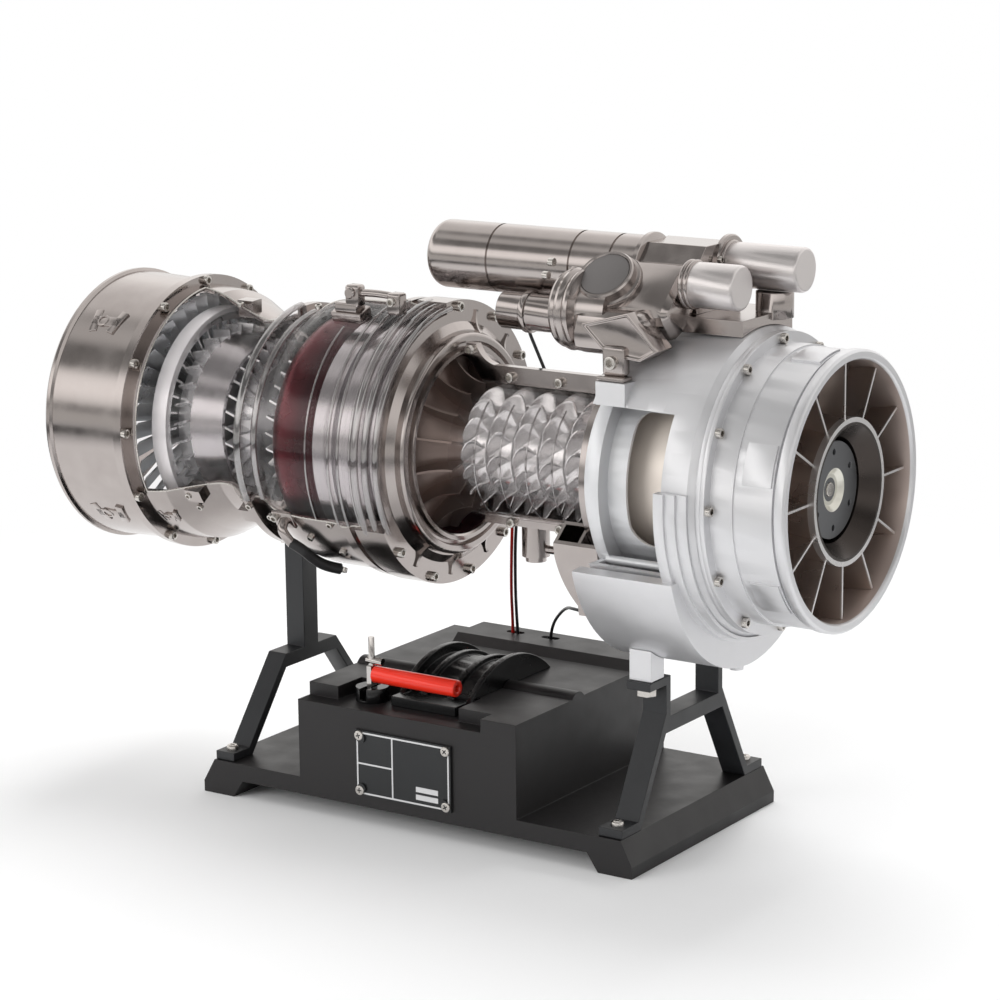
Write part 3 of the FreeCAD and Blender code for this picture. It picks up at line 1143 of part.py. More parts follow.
# Scroll below the frame, with a stepped collar round its front end
scroll = engine_body("scroll_case")
seat_radius = "(frame_radius + shell_gap)"
lip_y = "sqrt(scroll_radius^2 - (scroll_lip + scroll_drop)^2)"
seat_z = "window_bottom - 0.5"
seat_y = "sqrt(%s^2 - (%s)^2)" % (seat_radius, seat_z)
along_axis(scroll, "duct", "scroll_rear", "scroll_front - scroll_rear", [
    ("-%s" % lip_y, "scroll_lip"),
    (lip_y, "scroll_lip", "scroll_radius", -1),
    (seat_y, seat_z),
    ("-%s" % seat_y, seat_z, seat_radius, 1)])
for number in range(3):
    outer = "(frame_radius + collar_wall - collar_step * %d)" % number
    along_axis(scroll, "collar", "collar_rear + collar_pitch * %d" % number, "collar_pitch", [
        ("-" + outer, "0"),
        ("0", "-" + outer, outer, -1),
        (outer, "0", outer, -1),
        (outer, "collar_top"),
        ("sqrt(%s^2 - collar_top^2)" % seat_radius, "collar_top"),
        ("0", "-" + seat_radius, seat_radius, 1),
        ("-sqrt(%s^2 - collar_top^2)" % seat_radius, "collar_top", seat_radius, 1),
        ("-" + outer, "collar_top")])
post(scroll, "drain_boss", "collar_rear", "0", "-scroll_depth - 2", "4", "2")

# Inner barrel with its rear ring, rear wall, bearing seat, viewing slot and near rail
inner = turned("inner_barrel", [
    ("inner_barrel_rear - bearing_width", "core_shaft_radius + bearing_wall + shell_gap"),
    ("inner_barrel_rear - bearing_width", "core_shaft_radius + bearing_wall + 3"),
    ("inner_barrel_rear + 0.2", "core_shaft_radius + bearing_wall + 3"),
    ("inner_barrel_rear + 0.2", "inner_barrel_radius"),
    ("ring_rear", "inner_barrel_radius"),
    ("ring_rear", "ring_radius"),
    ("ring_front", "ring_radius"),
    ("ring_front", "inner_barrel_radius"),
    ("frame_front", "inner_barrel_radius"),
    ("frame_front", "inner_barrel_radius - casing_wall"),
    ("inner_barrel_rear + frame_wall", "inner_barrel_radius - casing_wall"),
    ("inner_barrel_rear + frame_wall", "core_shaft_radius + bearing_wall + shell_gap")])
sketch = new_sketch(inner, "slot", "XZ_Plane", shift="inner_barrel_radius + 2")
outline(sketch, [
    ("slot_rear + slot_round", "-slot_low", "slot_round", -1),
    ("slot_front", "-slot_low"),
    ("slot_front", "slot_top"),
    ("slot_rear + slot_corner", "slot_top"),
    ("slot_rear", "slot_top - slot_corner", "slot_corner", -1),
    ("slot_rear", "slot_round - slot_low")])
pocket(inner, sketch, "inner_barrel_radius - 4")
rod_along_axis(inner, "rail", "ring_front - 1", "slot_front - ring_front", "-ring_radius * cos(35)",
               "-ring_radius * sin(35)", "rail_radius")

# Light inner cylinder seen through the slot
band(engine_body("inner_core"), "core", "inner_barrel_rear + frame_wall", "frame_front - 1",
     "core_radius - casing_wall", "core_radius")

# Inlet barrel: bolted flange, stepped outside, raised pads and a plain round lip
inlet = turned("inlet_barrel", [
    ("inlet_joint", "inlet_bore"),
    ("inlet_joint", "inlet_flange_radius"),
    ("inlet_joint + inlet_flange", "inlet_flange_radius"),
    ("inlet_joint + inlet_flange", "inlet_radius"),
    ("seam_x", "inlet_radius"),
    ("seam_x", "inlet_radius - pad_rise"),
    ("inlet_front - lip_length - 1", "inlet_radius - pad_rise"),
    ("inlet_front - lip_length - 1", "inlet_radius - pad_rise * 3"),
    ("inlet_front - lip_length", "inlet_radius - pad_rise * 3"),
    ("inlet_front - lip_length", "inlet_radius"),
    ("inlet_front - 0.6", "inlet_radius"),
    ("inlet_front", "inlet_radius - 0.7"),
    ("inlet_front", "inlet_bore + 0.6"),
    ("inlet_front - 1", "inlet_bore")])
drill_ring(inlet, "inlet_joint + inlet_flange", "inlet_flange", "inlet_screw_radius", "flange_screws")
for clock in ("9", "70", "129"):
    band(inlet, "pad", "seam_x + 2.5", "inlet_front - lip_length - 1.4", "inlet_radius - 1",
         "inlet_radius + pad_rise * 0.4", clock, "17")

# Swirl frame: hub with its bearing web and two rows of vanes inside the barrel
swirl = turned("swirl_frame", [
    ("inlet_hub_rear", "inlet_hub_bore"),
    ("inlet_hub_rear", "inlet_hub_radius"),
    ("hub_front", "inlet_hub_radius"),
    ("hub_front", "inlet_hub_bore"),
    ("hub_front - 5", "coupling_radius + 1.2"),
    ("hub_web_x + bearing_width + 1", "coupling_radius + 0.8"),
    ("hub_web_x + bearing_width + 1", "power_shaft_radius + bearing_wall + shell_gap"),
    ("hub_web_x", "power_shaft_radius + bearing_wall + shell_gap"),
    ("hub_web_x", "inlet_hub_bore")])
vane_height = "inlet_bore - shell_gap - 0.1 - inlet_hub_radius + 0.6"
vane = radial_plate(swirl, "vane", "vane_front - vane_chord", "vane_front", "vane_skew", "vane_thickness",
                    "inlet_hub_radius - 0.6", vane_height)
ring_of(swirl, [vane], "vane_count")
short = radial_plate(swirl, "short_vane", "inlet_hub_rear + 1", "inlet_hub_rear + 7", "vane_skew", "vane_thickness",
                     "inlet_hub_radius - 0.6", vane_height)
ring_of(swirl, [short], "vane_count")

# Output coupling on the front of the power shaft
coupling = turned("output_coupling", [
    ("coupling_face - coupling_thickness", "power_shaft_radius + shell_gap"),
    ("coupling_face - coupling_thickness", "coupling_radius"),
    ("coupling_face", "coupling_radius"),
    ("coupling_face", "coupling_bore + 1.6"),
    ("coupling_face - 1.4", "coupling_bore"),
    ("coupling_face - 1.4", "power_shaft_radius + shell_gap")])
sketch = new_sketch(coupling, "bolt_hole", "YZ_Plane", shift="coupling_face")
circle(sketch, "0", "coupling_pitch_radius", "coupling_hole_radius")
ring_of(coupling, [pocket(coupling, sketch, "coupling_thickness")], "coupling_holes")

# Bearing rings of both shafts
bearings = engine_body("shaft_bearings")
for rear, bore in (("hub_web_x + 0.5", "power_shaft_radius"), ("inner_barrel_rear - bearing_width", "core_shaft_radius"),
                   ("duct_web_x", "core_shaft_radius"), ("strut_front - bearing_width", "power_shaft_radius")):
    band(bearings, "ring", rear, rear + " + bearing_width", bore + " + running_gap", bore + " + bearing_wall")

# Socket screws of the flanges, the combustor rim and the compressor split line
for label, seat, radius, shank, count, clock, sweep in (
        ("hot_section_screws", "exhaust_joint + flange_thickness", "flange_screw_radius", "flange_thickness * 2",
         "flange_screws", "0", "360"),
        ("combustor_screws", "diffuser_flange_front", "rim_screw_radius", "5", "rim_screws", "rim_first",
         "rim_pitch * (rim_screws - 1)"),
        ("front_screws", "inlet_joint + inlet_flange", "inlet_screw_radius", "inlet_flange * 2", "flange_screws",
         "0", "360")):
    body = engine_body(label)
    screw = axial_screw(body, "screw", seat, radius, shank, clock)
    ring_of(body, [screw], count, sweep)
body = engine_body("split_line_screws")
for along, up in strip_screws:
    sketch = new_sketch(body, "shank", "XZ_Plane", shift="-strip_half")
    pad(body, circle(sketch, along, up, "screw_shank"), "strip_half * 2")
    sketch = new_sketch(body, "head", "XZ_Plane", shift="strip_half")
    pad(body, circle(sketch, along, up, "screw_head"), "screw_head_height")

# Bleed scoop below the front of the compressor, with a hollow mouth that slopes towards the viewer
bleed = engine_body("bleed_duct")


def scoop_points(places):
    """Corners measured from the near rim of the scoop."""
    return [("%s - scoop_reach" % across, "%s - scoop_rim" % up) for across, up in places]


along_axis(bleed, "scoop", "scoop_rear", "scoop_length",
           scoop_points([("0", "0"), ("6.5", "5.3"), ("10.5", "-5.4"), ("10", "-17.4"), ("3.5", "-21.4")]))
along_axis(bleed, "near_wall", "scoop_rear + scoop_length - 1", "scoop_end - scoop_rear - scoop_length + 1",
           scoop_points([("0", "0"), ("1", "0.8"), ("4.5", "-20.6"), ("3.5", "-21.4")]))
sketch = new_sketch(bleed, "mouth", "YZ_Plane", shift="scoop_rear + scoop_length - casing_wall")
outline(sketch, scoop_points([
    ("-0.9", "3.1"), ("3.7", "6.9"), ("5.6", "4.6"), ("8.7", "-3.5"), ("2.8", "-10.7"), ("1", "0.8")]))
pocket(bleed, sketch, "scoop_length - casing_wall * 2")
sketch = new_sketch(bleed, "rear_curve", "XZ_Plane", shift="scoop_reach + 2")
outline(sketch, [
    ("scoop_rear - 1", "-scoop_rim - 4"),
    ("scoop_rear", "-scoop_rim - 4"),
    ("scoop_rear + 6.5", "-scoop_rim - 18.5", "28", -1),
    ("scoop_rear + 6.5", "-scoop_rim - 24"),
    ("scoop_rear - 1", "-scoop_rim - 24")])
pocket(bleed, sketch, "16")

# Accessory gearbox seated on the front frame, with the spine plate and the far outlet post
gearbox = engine_body("accessory_gearbox")
near_z = "sqrt(%s^2 - gearbox_near^2)" % seat_radius
far_z = "sqrt(%s^2 - gearbox_far^2)" % seat_radius
along_axis(gearbox, "foot", "gearbox_rear + 3", "frame_front - gearbox_rear - 4", [
    ("gearbox_near", near_z),
    ("gearbox_far", far_z, seat_radius, 1),
    ("gearbox_far", "gearbox_seat + 3"),
    ("gearbox_near", "gearbox_seat + 3")])
along_axis(gearbox, "case", "gearbox_rear", "gearbox_length", [
    ("gearbox_near + 4", "gearbox_seat + 2"),
    ("gearbox_far", "gearbox_seat + 2"),
    ("gearbox_far", "gearbox_top - 6"),
    ("gearbox_far - 6", "gearbox_top"),
    ("gearbox_near + 9", "gearbox_top"),
    ("gearbox_near + 4", "gearbox_top - 5")])
post(gearbox, "outlet_post", "outlet_x", "canister_far_y", "gearbox_seat + 1",
     "canister_far_z - canister_radius - gearbox_seat - 1 - shell_gap", "outlet_radius")

# Starter motor along the top of the engine
starter = engine_body("starter_motor")
sketch = new_sketch(starter, "profile", "XZ_Plane", shift="-starter_y")
starter_skin = "starter_z + starter_radius"
grooves = []
for place in ("starter_rear + 22.2", "starter_rear + 50.8", "starter_rear + 64"):
    grooves += [
        (place, starter_skin),
        (place, starter_skin + " - groove_depth"),
        (place + " + groove_width", starter_skin + " - groove_depth"),
        (place + " + groove_width", starter_skin)]
outline(sketch, [
    ("starter_rear", "starter_z"),
    ("starter_rear", starter_skin + " - starter_round"),
    ("starter_rear + starter_round", starter_skin, "starter_round", 1)] + grooves + [
    ("starter_front - shell_gap", starter_skin),
    ("starter_front - shell_gap", "starter_z")])
axis = sketch.addGeometry(Part.LineSegment(
    FreeCAD.Vector(value("starter_rear"), value("starter_z"), 0),
    FreeCAD.Vector(value("starter_front"), value("starter_z"), 0)), True)
pin_point(sketch, axis, 1, "starter_rear", "starter_z")
pin_point(sketch, axis, 2, "starter_front", "starter_z")
spin(starter, sketch, about=(sketch, ["Axis0"]))

# Fuel pump below the starter
pump = engine_body("fuel_pump")
rod_along_axis(pump, "barrel", "pump_rear", "pump_front - pump_rear - shell_gap", "pump_y", "pump_z", "pump_radius")
rod_along_axis(pump, "collar", "pump_rear + 8", "2", "pump_y", "pump_z", "pump_radius + 0.7")

# Valve body beside the gearbox: round drum, angled housing, tilted cap and clamp bracket
valve = engine_body("valve_body")
rod_along_axis(valve, "flange", "pump_front", "3", "valve_drum_y", "valve_drum_z", "valve_drum_radius + 0.6")
rod_along_axis(valve, "drum", "pump_front", "frame_rear - shell_gap - pump_front", "valve_drum_y", "valve_drum_z",
               "valve_drum_radius")
housing_seat_z = "sqrt(%s^2 - (housing_near + 8)^2)" % seat_radius
along_axis(valve, "housing", "valve_x - 1", "housing_length", [
    ("housing_near + 8", housing_seat_z),
    ("gearbox_near - shell_gap", "sqrt(%s^2 - (gearbox_near - shell_gap)^2)" % seat_radius, seat_radius, 1),
    ("gearbox_near - shell_gap", "gearbox_seat + 3 + shell_gap"),
    ("gearbox_near + 2", "gearbox_seat + 3 + shell_gap"),
    ("gearbox_near + 2", "valve_drum_z + 12"),
    ("housing_near + 14", "valve_drum_z + 13"),
    ("housing_near", "valve_drum_z + 3"),
    ("housing_near", "valve_drum_z - 2")])
sketch = new_sketch(valve, "cap", "XZ_Plane", clock="-valve_tilt",
                    shift="valve_z * sin(valve_tilt) - valve_y * cos(valve_tilt) - 6")
circle(sketch, "valve_x", "valve_z * cos(valve_tilt) + valve_y * sin(valve_tilt)", "valve_cap_radius")
pad(valve, sketch, "6")
sketch = new_sketch(valve, "cap_face", "XZ_Plane", clock="-valve_tilt",
                    shift="valve_z * sin(valve_tilt) - valve_y * cos(valve_tilt)")
circle(sketch, "valve_x", "valve_z * cos(valve_tilt) + valve_y * sin(valve_tilt)", "valve_cap_radius - 1")
pad(valve, sketch, "0.8")
add_box(valve, "bracket_foot", "bracket_x", "bracket_x + bracket_length", "bracket_y - 2", "bracket_y + 3",
        "bracket_z", "1.2")
add_box(valve, "bracket", "bracket_x + 0.6", "bracket_x + bracket_length - 1", "bracket_y", "bracket_y + 3.9",
        "bracket_z + 1.1", "8.6")
sketch = new_sketch(valve, "clamp_screw", "XZ_Plane", shift="-bracket_y")
pad(valve, circle(sketch, "bracket_x + 4.1", "bracket_z + 5", "screw_head + 0.4"), "screw_head_height")

# Two round canisters facing forward
cans = engine_body("filter_canisters")
for front, length, across, up in (
        ("canister_near_front", "canister_near_front - valve_x + 1 - housing_length", "canister_near_y", "canister_near_z"),
        ("canister_far_front", "canister_far_front - gearbox_rear - gearbox_length", "canister_far_y", "canister_far_z")):
    rod_along_axis(cans, "canister", "%s - (%s)" % (front, length), "%s" % length, across, up, "canister_radius")

# Pipes and wires follow straight runs joined by tangent arcs
def around(x, clock, radius):
    """A point given by its place along the axis, clock angle and radius."""
    turn = math.radians(value(clock))
    return FreeCAD.Vector(value(x), -value(radius) * math.sin(turn), value("axis_height") + value(radius) * math.cos(turn))


def tube(label, points, radius):
    """A round tube along a route of points."""
    edges = []
    bends = []
    start = points[0]
    for before, corner, after in zip(points, points[1:], points[2:]):
        arriving = (corner - before).normalize()
        leaving = (after - corner).normalize()
        half_turn = arriving.getAngle(leaving) / 2
        trim = 0.45 * min(corner.distanceToPoint(before), corner.distanceToPoint(after))
        bend = trim / math.tan(half_turn)
        bends.append(round(bend, 1))
        entry = corner - arriving * trim
        leave = corner + leaving * trim
        crown = corner + (leaving - arriving).normalize() * bend * (1 / math.cos(half_turn) - 1)
        edges.append(Part.LineSegment(start, entry).toShape())
        edges.append(Part.Arc(entry, crown, leave).toShape())
        start = leave
    edges.append(Part.LineSegment(start, points[-1]).toShape())
    path = Part.Wire(edges)
    section = Part.Wire(Part.Circle(points[0], points[1] - points[0], radius).toShape())
    feature = doc.addObject("Part::Feature", label)
    feature.Label = label
    feature.Shape = path.makePipeShell([section], True, False)
    expected = math.pi * radius ** 2 * path.Length
    print(label, "length", round(path.Length, 1), "bends", bends, "volume", round(feature.Shape.Volume / expected, 3))
    parts_made.append(feature)
    return feature


burner_top = "burner_radius + 0.1"
arch = "burner_radius + 3.6"
tube("fuel_tube_top", [
    around("tube_top_rear", "tube_top_clock", burner_top),
    around("tube_top_rear", "tube_top_clock", arch),
    around("tube_top_front", "tube_top_clock - 5", arch),
    around("tube_top_front", "tube_top_clock - 5", burner_top)], value("fuel_tube_radius"))
tube("fuel_tube_bottom", [
    around("tube_low_rear", "tube_low_clock", "burner_radius - 1.2"),
    around("tube_low_rear", "tube_low_clock", arch),
    around("tube_low_front", "tube_low_clock + 17", arch),
    around("tube_low_front", "tube_low_clock + 17", burner_top)], value("fuel_tube_radius"))

# Fittings round the ends of the pipes
fittings = engine_body("tube_fittings")
for place, clock, seat in (
        ("tube_top_rear", "tube_top_clock", burner_top),
        ("tube_top_front", "tube_top_clock - 5", burner_top),
        ("tube_low_rear", "tube_low_clock", "burner_radius - 0.7"),
        ("tube_low_front", "tube_low_clock + 17", burner_top)):
    sketch = new_sketch(fittings, "fitting", "XY_Plane", shift=seat, clock=clock)
    circle(sketch, place, "0", "fuel_tube_radius + 0.9")
    circle(sketch, place, "0", "fuel_tube_radius + shell_gap")
    pad(fittings, sketch, "1.2")

# Thin wires: a pair and a single wire from the base, and one from the starter
hole_floor = value("block_top + deck_rise - cable_hole_depth") + 0.3
low_seat = value("axis_height - compressor_radius - compressor_wall")
high_seat = value("axis_height + compressor_radius + compressor_wall")
scroll_floor = value("axis_height - scroll_depth")
starter_floor = value("axis_height + starter_z - starter_radius")
hole_x = value("cable_hole_x")
hole_y = value("cable_hole_y")
wire = value("wire_radius")
for label, shift in (("lead_1_red", -1.0), ("lead_1_black", 1.0)):
    tube(label, [
        FreeCAD.Vector(hole_x + shift, hole_y, hole_floor),
        FreeCAD.Vector(hole_x + shift * 0.8, hole_y - 0.4, hole_floor + 6.5),
        FreeCAD.Vector(2.5 + shift * 0.8, 20.5, low_seat - 28.38),
        FreeCAD.Vector(13.0 + shift * 0.6, 5.2, low_seat - 6.88),
        FreeCAD.Vector(13.8 + shift * 0.8, 5.0, low_seat + 0.5)], wire)
tube("lead_2", [
    FreeCAD.Vector(hole_x + value("cable_hole_pitch"), hole_y, hole_floor),
    FreeCAD.Vector(hole_x + value("cable_hole_pitch") + 0.3, hole_y - 0.6, hole_floor + 6.5),
    FreeCAD.Vector(21.0, 21.5, scroll_floor + 1.92),
    FreeCAD.Vector(34.0, 6.8, scroll_floor + 6.22),
    FreeCAD.Vector(52.0, 6.0, scroll_floor + 4.92),
    FreeCAD.Vector(value("scroll_rear") - 0.1, 6.4, scroll_floor + 5.72)], wire)
tube("lead_3", [
    FreeCAD.Vector(16.8, 6.0, starter_floor + 1.2),
    FreeCAD.Vector(17.4, 5.2, starter_floor - 8.48),
    FreeCAD.Vector(22.8, 6.0, high_seat + 6.22),
    FreeCAD.Vector(25.4, 7.2, high_seat - 1.0)], wire)

doc.recompute()
for item in doc.Objects:
    if "Invalid" in item.State or "Error" in item.State:
        raise RuntimeError("%s (%s) does not compute" % (item.Label, item.Name))
for item in parts_made:
    if item.Shape.isNull() or not item.Shape.isValid() or item.Shape.Volume <= 0:
        raise RuntimeError("%s has no valid shape" % item.Label)
    item.Shape.exportStep("parts/%s.step" % item.Label)
print(len(parts_made), "parts")
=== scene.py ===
import json
import math

import bpy
from mathutils import Matrix, Vector


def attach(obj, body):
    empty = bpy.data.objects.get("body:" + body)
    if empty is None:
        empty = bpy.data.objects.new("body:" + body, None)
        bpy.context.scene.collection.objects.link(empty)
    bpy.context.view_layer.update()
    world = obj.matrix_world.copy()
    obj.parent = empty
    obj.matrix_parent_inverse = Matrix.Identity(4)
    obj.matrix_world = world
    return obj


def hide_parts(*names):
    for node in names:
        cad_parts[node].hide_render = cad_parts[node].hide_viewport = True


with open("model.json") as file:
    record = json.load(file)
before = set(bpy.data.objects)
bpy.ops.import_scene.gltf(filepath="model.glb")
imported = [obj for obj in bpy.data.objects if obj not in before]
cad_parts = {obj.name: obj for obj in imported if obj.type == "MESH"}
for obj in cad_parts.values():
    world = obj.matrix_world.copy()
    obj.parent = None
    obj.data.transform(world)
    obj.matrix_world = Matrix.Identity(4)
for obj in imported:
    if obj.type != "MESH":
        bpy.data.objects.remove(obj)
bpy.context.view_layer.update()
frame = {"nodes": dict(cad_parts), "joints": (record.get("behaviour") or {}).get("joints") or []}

# Stand base: one hollow ABS moulding with two cross feet, a centre block and a raised cable deck.
# The mould was spark eroded, which leaves a fine even matt grain, and its edges are softly rounded.
MM = 0.001
NOISE_RANGE = (0.3, 0.7)
EDGE_DEGREES = 35


def linear(hex_colour):
    """An sRGB hex colour as linear red, green, blue and alpha."""
    channels = [int(hex_colour[i:i + 2], 16) / 255 for i in (1, 3, 5)]
    return [c / 12.92 if c <= 0.04045 else ((c + 0.055) / 1.055) ** 2.4 for c in channels] + [1]


def add_node(tree, kind, settings=None, links=None):
    """Adds a shader node with its settings and the sockets that feed it."""
    node = tree.nodes.new(kind)
    for name, setting in (settings or {}).items():
        if isinstance(name, str) and hasattr(node, name):
            setattr(node, name, setting)
        else:
            node.inputs[name].default_value = setting
    for name, socket in (links or {}).items():
        tree.links.new(socket, node.inputs[name])
    return node


def remap(tree, value, source, target=(0, 1), interpolation="LINEAR"):
    """Carries a value from one range over to another, and holds it inside."""
    return add_node(tree, "ShaderNodeMapRange", {
        "interpolation_type": interpolation, "From Min": source[0], "From Max": source[1],
        "To Min": target[0], "To Max": target[1]}, {"Value": value}).outputs["Result"]


def blend(tree, share, first, second):
    """A mix of two colours, each given in hex or as a socket."""
    settings = {"data_type": "RGBA"}
    links = {0: share}
    for place, colour in ((6, first), (7, second)):
        if isinstance(colour, str):
            settings[place] = linear(colour)
        else:
            links[place] = colour
    return add_node(tree, "ShaderNodeMix", settings, links).outputs[2]


def set_tones(material, share, first, second):
    """Gives a material one colour where the share is 0 and the other where it is 1."""
    tree = material.node_tree
    tree.links.new(blend(tree, share, first, second), tree.nodes["Principled BSDF"].inputs["Base Color"])


def start_finish(name, colour, roughness, metallic=0.0, ior=1.5):
    """A new material of one colour, before its grain is added."""
    material = bpy.data.materials.new(name)
    material.use_nodes = True
    shader = material.node_tree.nodes["Principled BSDF"]
    shader.inputs["Base Color"].default_value = linear(colour)
    shader.inputs["Roughness"].default_value = roughness
    shader.inputs["Metallic"].default_value = metallic
    if not metallic:
        shader.inputs["IOR"].default_value = ior
    return material


def add_grain(material, grain_mm, rough_range, bump_mm, stretch=(1, 1, 1), blotch_mm=9.0, tones=None):
    """Noise of a real size for the relief, and broader blotches for the roughness and the tone."""
    tree = material.node_tree
    shader = tree.nodes["Principled BSDF"]
    coordinates = add_node(tree, "ShaderNodeTexCoord").outputs["Object"]
    scaled = add_node(tree, "ShaderNodeMapping", {"Scale": stretch}, {"Vector": coordinates})
    fine = add_node(tree, "ShaderNodeTexNoise", {"Scale": 1 / (grain_mm * MM), "Detail": 2.0},
                    {"Vector": scaled.outputs["Vector"]})
    bump = add_node(tree, "ShaderNodeBump", {"Strength": 1.0, "Distance": bump_mm * MM},
                    {"Height": fine.outputs["Fac"]})
    tree.links.new(bump.outputs["Normal"], shader.inputs["Normal"])
    blotch = add_node(tree, "ShaderNodeTexNoise", {"Scale": 1 / (blotch_mm * MM), "Detail": 3.0},
                      {"Vector": coordinates}).outputs["Fac"]
    tree.links.new(remap(tree, blotch, NOISE_RANGE, rough_range), shader.inputs["Roughness"])
    if tones:
        set_tones(material, blotch, *tones)


def dress(node_name, material, edge_mm=0.0):
    """Gives a CAD node its finish, and rounds its edges where edge_mm is set."""
    node = frame["nodes"][node_name]
    node.data.materials.clear()
    node.data.materials.append(material)
    if edge_mm:
        weld = node.modifiers.new("merge", "WELD")
        weld.merge_threshold = 0.01 * MM
        flat = node.modifiers.new("flats", "DECIMATE")
        flat.decimate_type = "DISSOLVE"
        flat.angle_limit = math.radians(1)
        edges = node.modifiers.new("edges", "BEVEL")
        edges.width = edge_mm * MM
        edges.segments = 2
        edges.limit_method = "ANGLE"
        edges.angle_limit = math.radians(EDGE_DEGREES)
        edges.use_clamp_overlap = True
        edges.harden_normals = True


black_abs = start_finish("moulded_black_abs", "#151314", 0.5)
add_grain(black_abs, 0.35, (0.4, 0.5), 0.012, tones=("#121011", "#191718"))
dress("stand_base", black_abs, 0.5)

# Leg frames: bent and welded steel strip, powder coated black with a slight orange peel.
powder_black = start_finish("black_powder_coat", "#202123", 0.45)
add_grain(powder_black, 0.8, (0.38, 0.5), 0.02, tones=("#1c1d1f", "#28292b"))
for name in ("front_stand_frame", "rear_stand_frame"):
    dress(name, powder_black, 0.25)

# Nuts, bearings and shaft: bright nickel-plated steel, turned, which leaves it smooth and clean.
bright_steel = start_finish("bright_plated_steel", "#cdc9c4", 0.24, metallic=1.0)
add_grain(bright_steel, 0.5, (0.18, 0.32), 0.004, blotch_mm=3.0)
for name in ("support_nuts", "shaft_bearings", "power_shaft"):
    dress(name, bright_steel, 0.2)

# Socket screws: a turned head with a rounded rim and a six-sided recess, standing on its seat.
# They hold the flanges of the casings together and clamp the split-line strips.
AXIS = Vector(next(joint["pos_m"] for joint in frame["joints"] if joint["name"] == "gas_generator_spin"))
HEAD_RADIUS = 1.5
HEAD_HEIGHT = 1.6
RIM_ROUNDING = 0.22
RECESS_SHARE = 0.62


def shift(x, y, z):
    """A move given in mm."""
    return Matrix.Translation(Vector((x, y, z)) * MM)


def turn(degrees, line):
    """A turn about the line X, Y or Z."""
    return Matrix.Rotation(math.radians(degrees), 4, line)


def spot(x, across, above):
    """A place given in mm, with its height above the engine axis."""
    return Matrix.Translation(AXIS) @ shift(x, across, above)


def on_shell(x, radius, clock):
    """A place on a round shell, facing outward; clock angles run from the top to the near side."""
    return Matrix.Translation(AXIS) @ turn(clock, "X") @ shift(x, 0, radius)


def choose(*pieces):
    """Selects these pieces alone, and makes the first one active."""
    bpy.ops.object.select_all(action="DESELECT")
    for piece in pieces:
        piece.select_set(True)
    if pieces:
        bpy.context.view_layer.objects.active = pieces[0]


def merge(pieces):
    """Joins loose pieces into one."""
    choose(*pieces)
    if len(pieces) > 1:
        bpy.ops.object.join()
    return pieces[0]


def apply_modifiers(piece):
    """Turns what the modifiers of a piece show into its mesh."""
    choose(piece)
    for modifier_name in [modifier.name for modifier in piece.modifiers]:
        bpy.ops.object.modifier_apply(modifier=modifier_name)


def pick(faces=None, edges=None):
    """Opens the active piece for editing, with the faces or edges selected that pass a test."""
    bpy.ops.object.mode_set(mode="EDIT")
    bpy.ops.mesh.select_all(action="DESELECT")
    bpy.ops.object.mode_set(mode="OBJECT")
    mesh = bpy.context.object.data
    if faces:
        bpy.context.tool_settings.mesh_select_mode = (False, False, True)
        for face in mesh.polygons:
            face.select = bool(faces(face))
    else:
        bpy.context.tool_settings.mesh_select_mode = (False, True, False)
        for edge in mesh.edges:
            ends = [mesh.vertices[index].co for index in edge.vertices]
            edge.select = bool(edges(*ends))
    bpy.ops.object.mode_set(mode="EDIT")


def round_edges(width_mm, segments):
    """Rounds what is selected in edit mode."""
    bpy.ops.mesh.bevel(offset=width_mm * MM, segments=segments, affect="EDGES")


def cylinder(sides, radius, depth, place, ends="NGON"):
    """A cylinder in mm about the middle of its place."""
    choose()
    bpy.ops.mesh.primitive_cylinder_add(vertices=sides, radius=radius * MM, depth=depth * MM, end_fill_type=ends,
                                        location=(0, 0, 0))
    made = bpy.context.object
    made.data.transform(place)
    return made


def head_blank(radius, height, rounding, segments):
    """A turned head with a rounded rim on the origin, facing up."""
    blank = cylinder(24, radius, height, shift(0, 0, height / 2))
    rim = (height - 0.01) * MM
    pick(edges=lambda a, b: a.z > rim and b.z > rim)
    round_edges(rounding, segments)
    bpy.ops.object.mode_set(mode="OBJECT")
    return blank


def cut(piece, tool):
    """Takes the shape of a tool out of a piece; the tool goes."""
    hollow = piece.modifiers.new("hollow", "BOOLEAN")
    hollow.object = tool
    hollow.operation = "DIFFERENCE"
    hollow.solver = "EXACT"
    apply_modifiers(piece)
    bpy.data.objects.remove(tool)


def socket_head(radius, height):
    """A socket head on the origin, facing up."""
    head = head_blank(radius, height, RIM_ROUNDING, 2)
    cut(head, cylinder(6, radius * RECESS_SHARE, height * 2, shift(0, 0, height * 1.2)))
    return head


def complete(piece, name, material, body, smooth=EDGE_DEGREES, replaced=()):
    """Names a finished piece, gives it its finish, and lets it ride on its body."""
    choose(piece)
    if smooth:
        bpy.ops.object.shade_smooth_by_angle(angle=math.radians(smooth))
    piece.name = name
    piece.data.name = name
    piece.data.materials.clear()
    piece.data.materials.append(material)
    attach(piece, body)
    if replaced:
        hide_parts(*replaced)


def repeat(pattern, places):
    """Copies of a pattern piece at the given places, joined into one piece; the pattern goes."""
    copies = []
    for place in places:
        twin = pattern.copy()
        twin.data = pattern.data.copy()
        twin.data.transform(place)
        bpy.context.scene.collection.objects.link(twin)
        copies.append(twin)
    bpy.data.objects.remove(pattern)
    return merge(copies)


def add_screws(name, head, places, replaced=()):
    """Bright screws in the engine, all with the same head."""
    complete(repeat(head, places), name, bright_steel, "engine", replaced=replaced)


forward_seat = turn(90, "Y")
side_seat = turn(90, "X")


def flange_circle(x, radius, clocks):
    """Places round a flange at x, facing forward."""
    return [on_shell(x, radius, clock) @ forward_seat for clock in clocks]


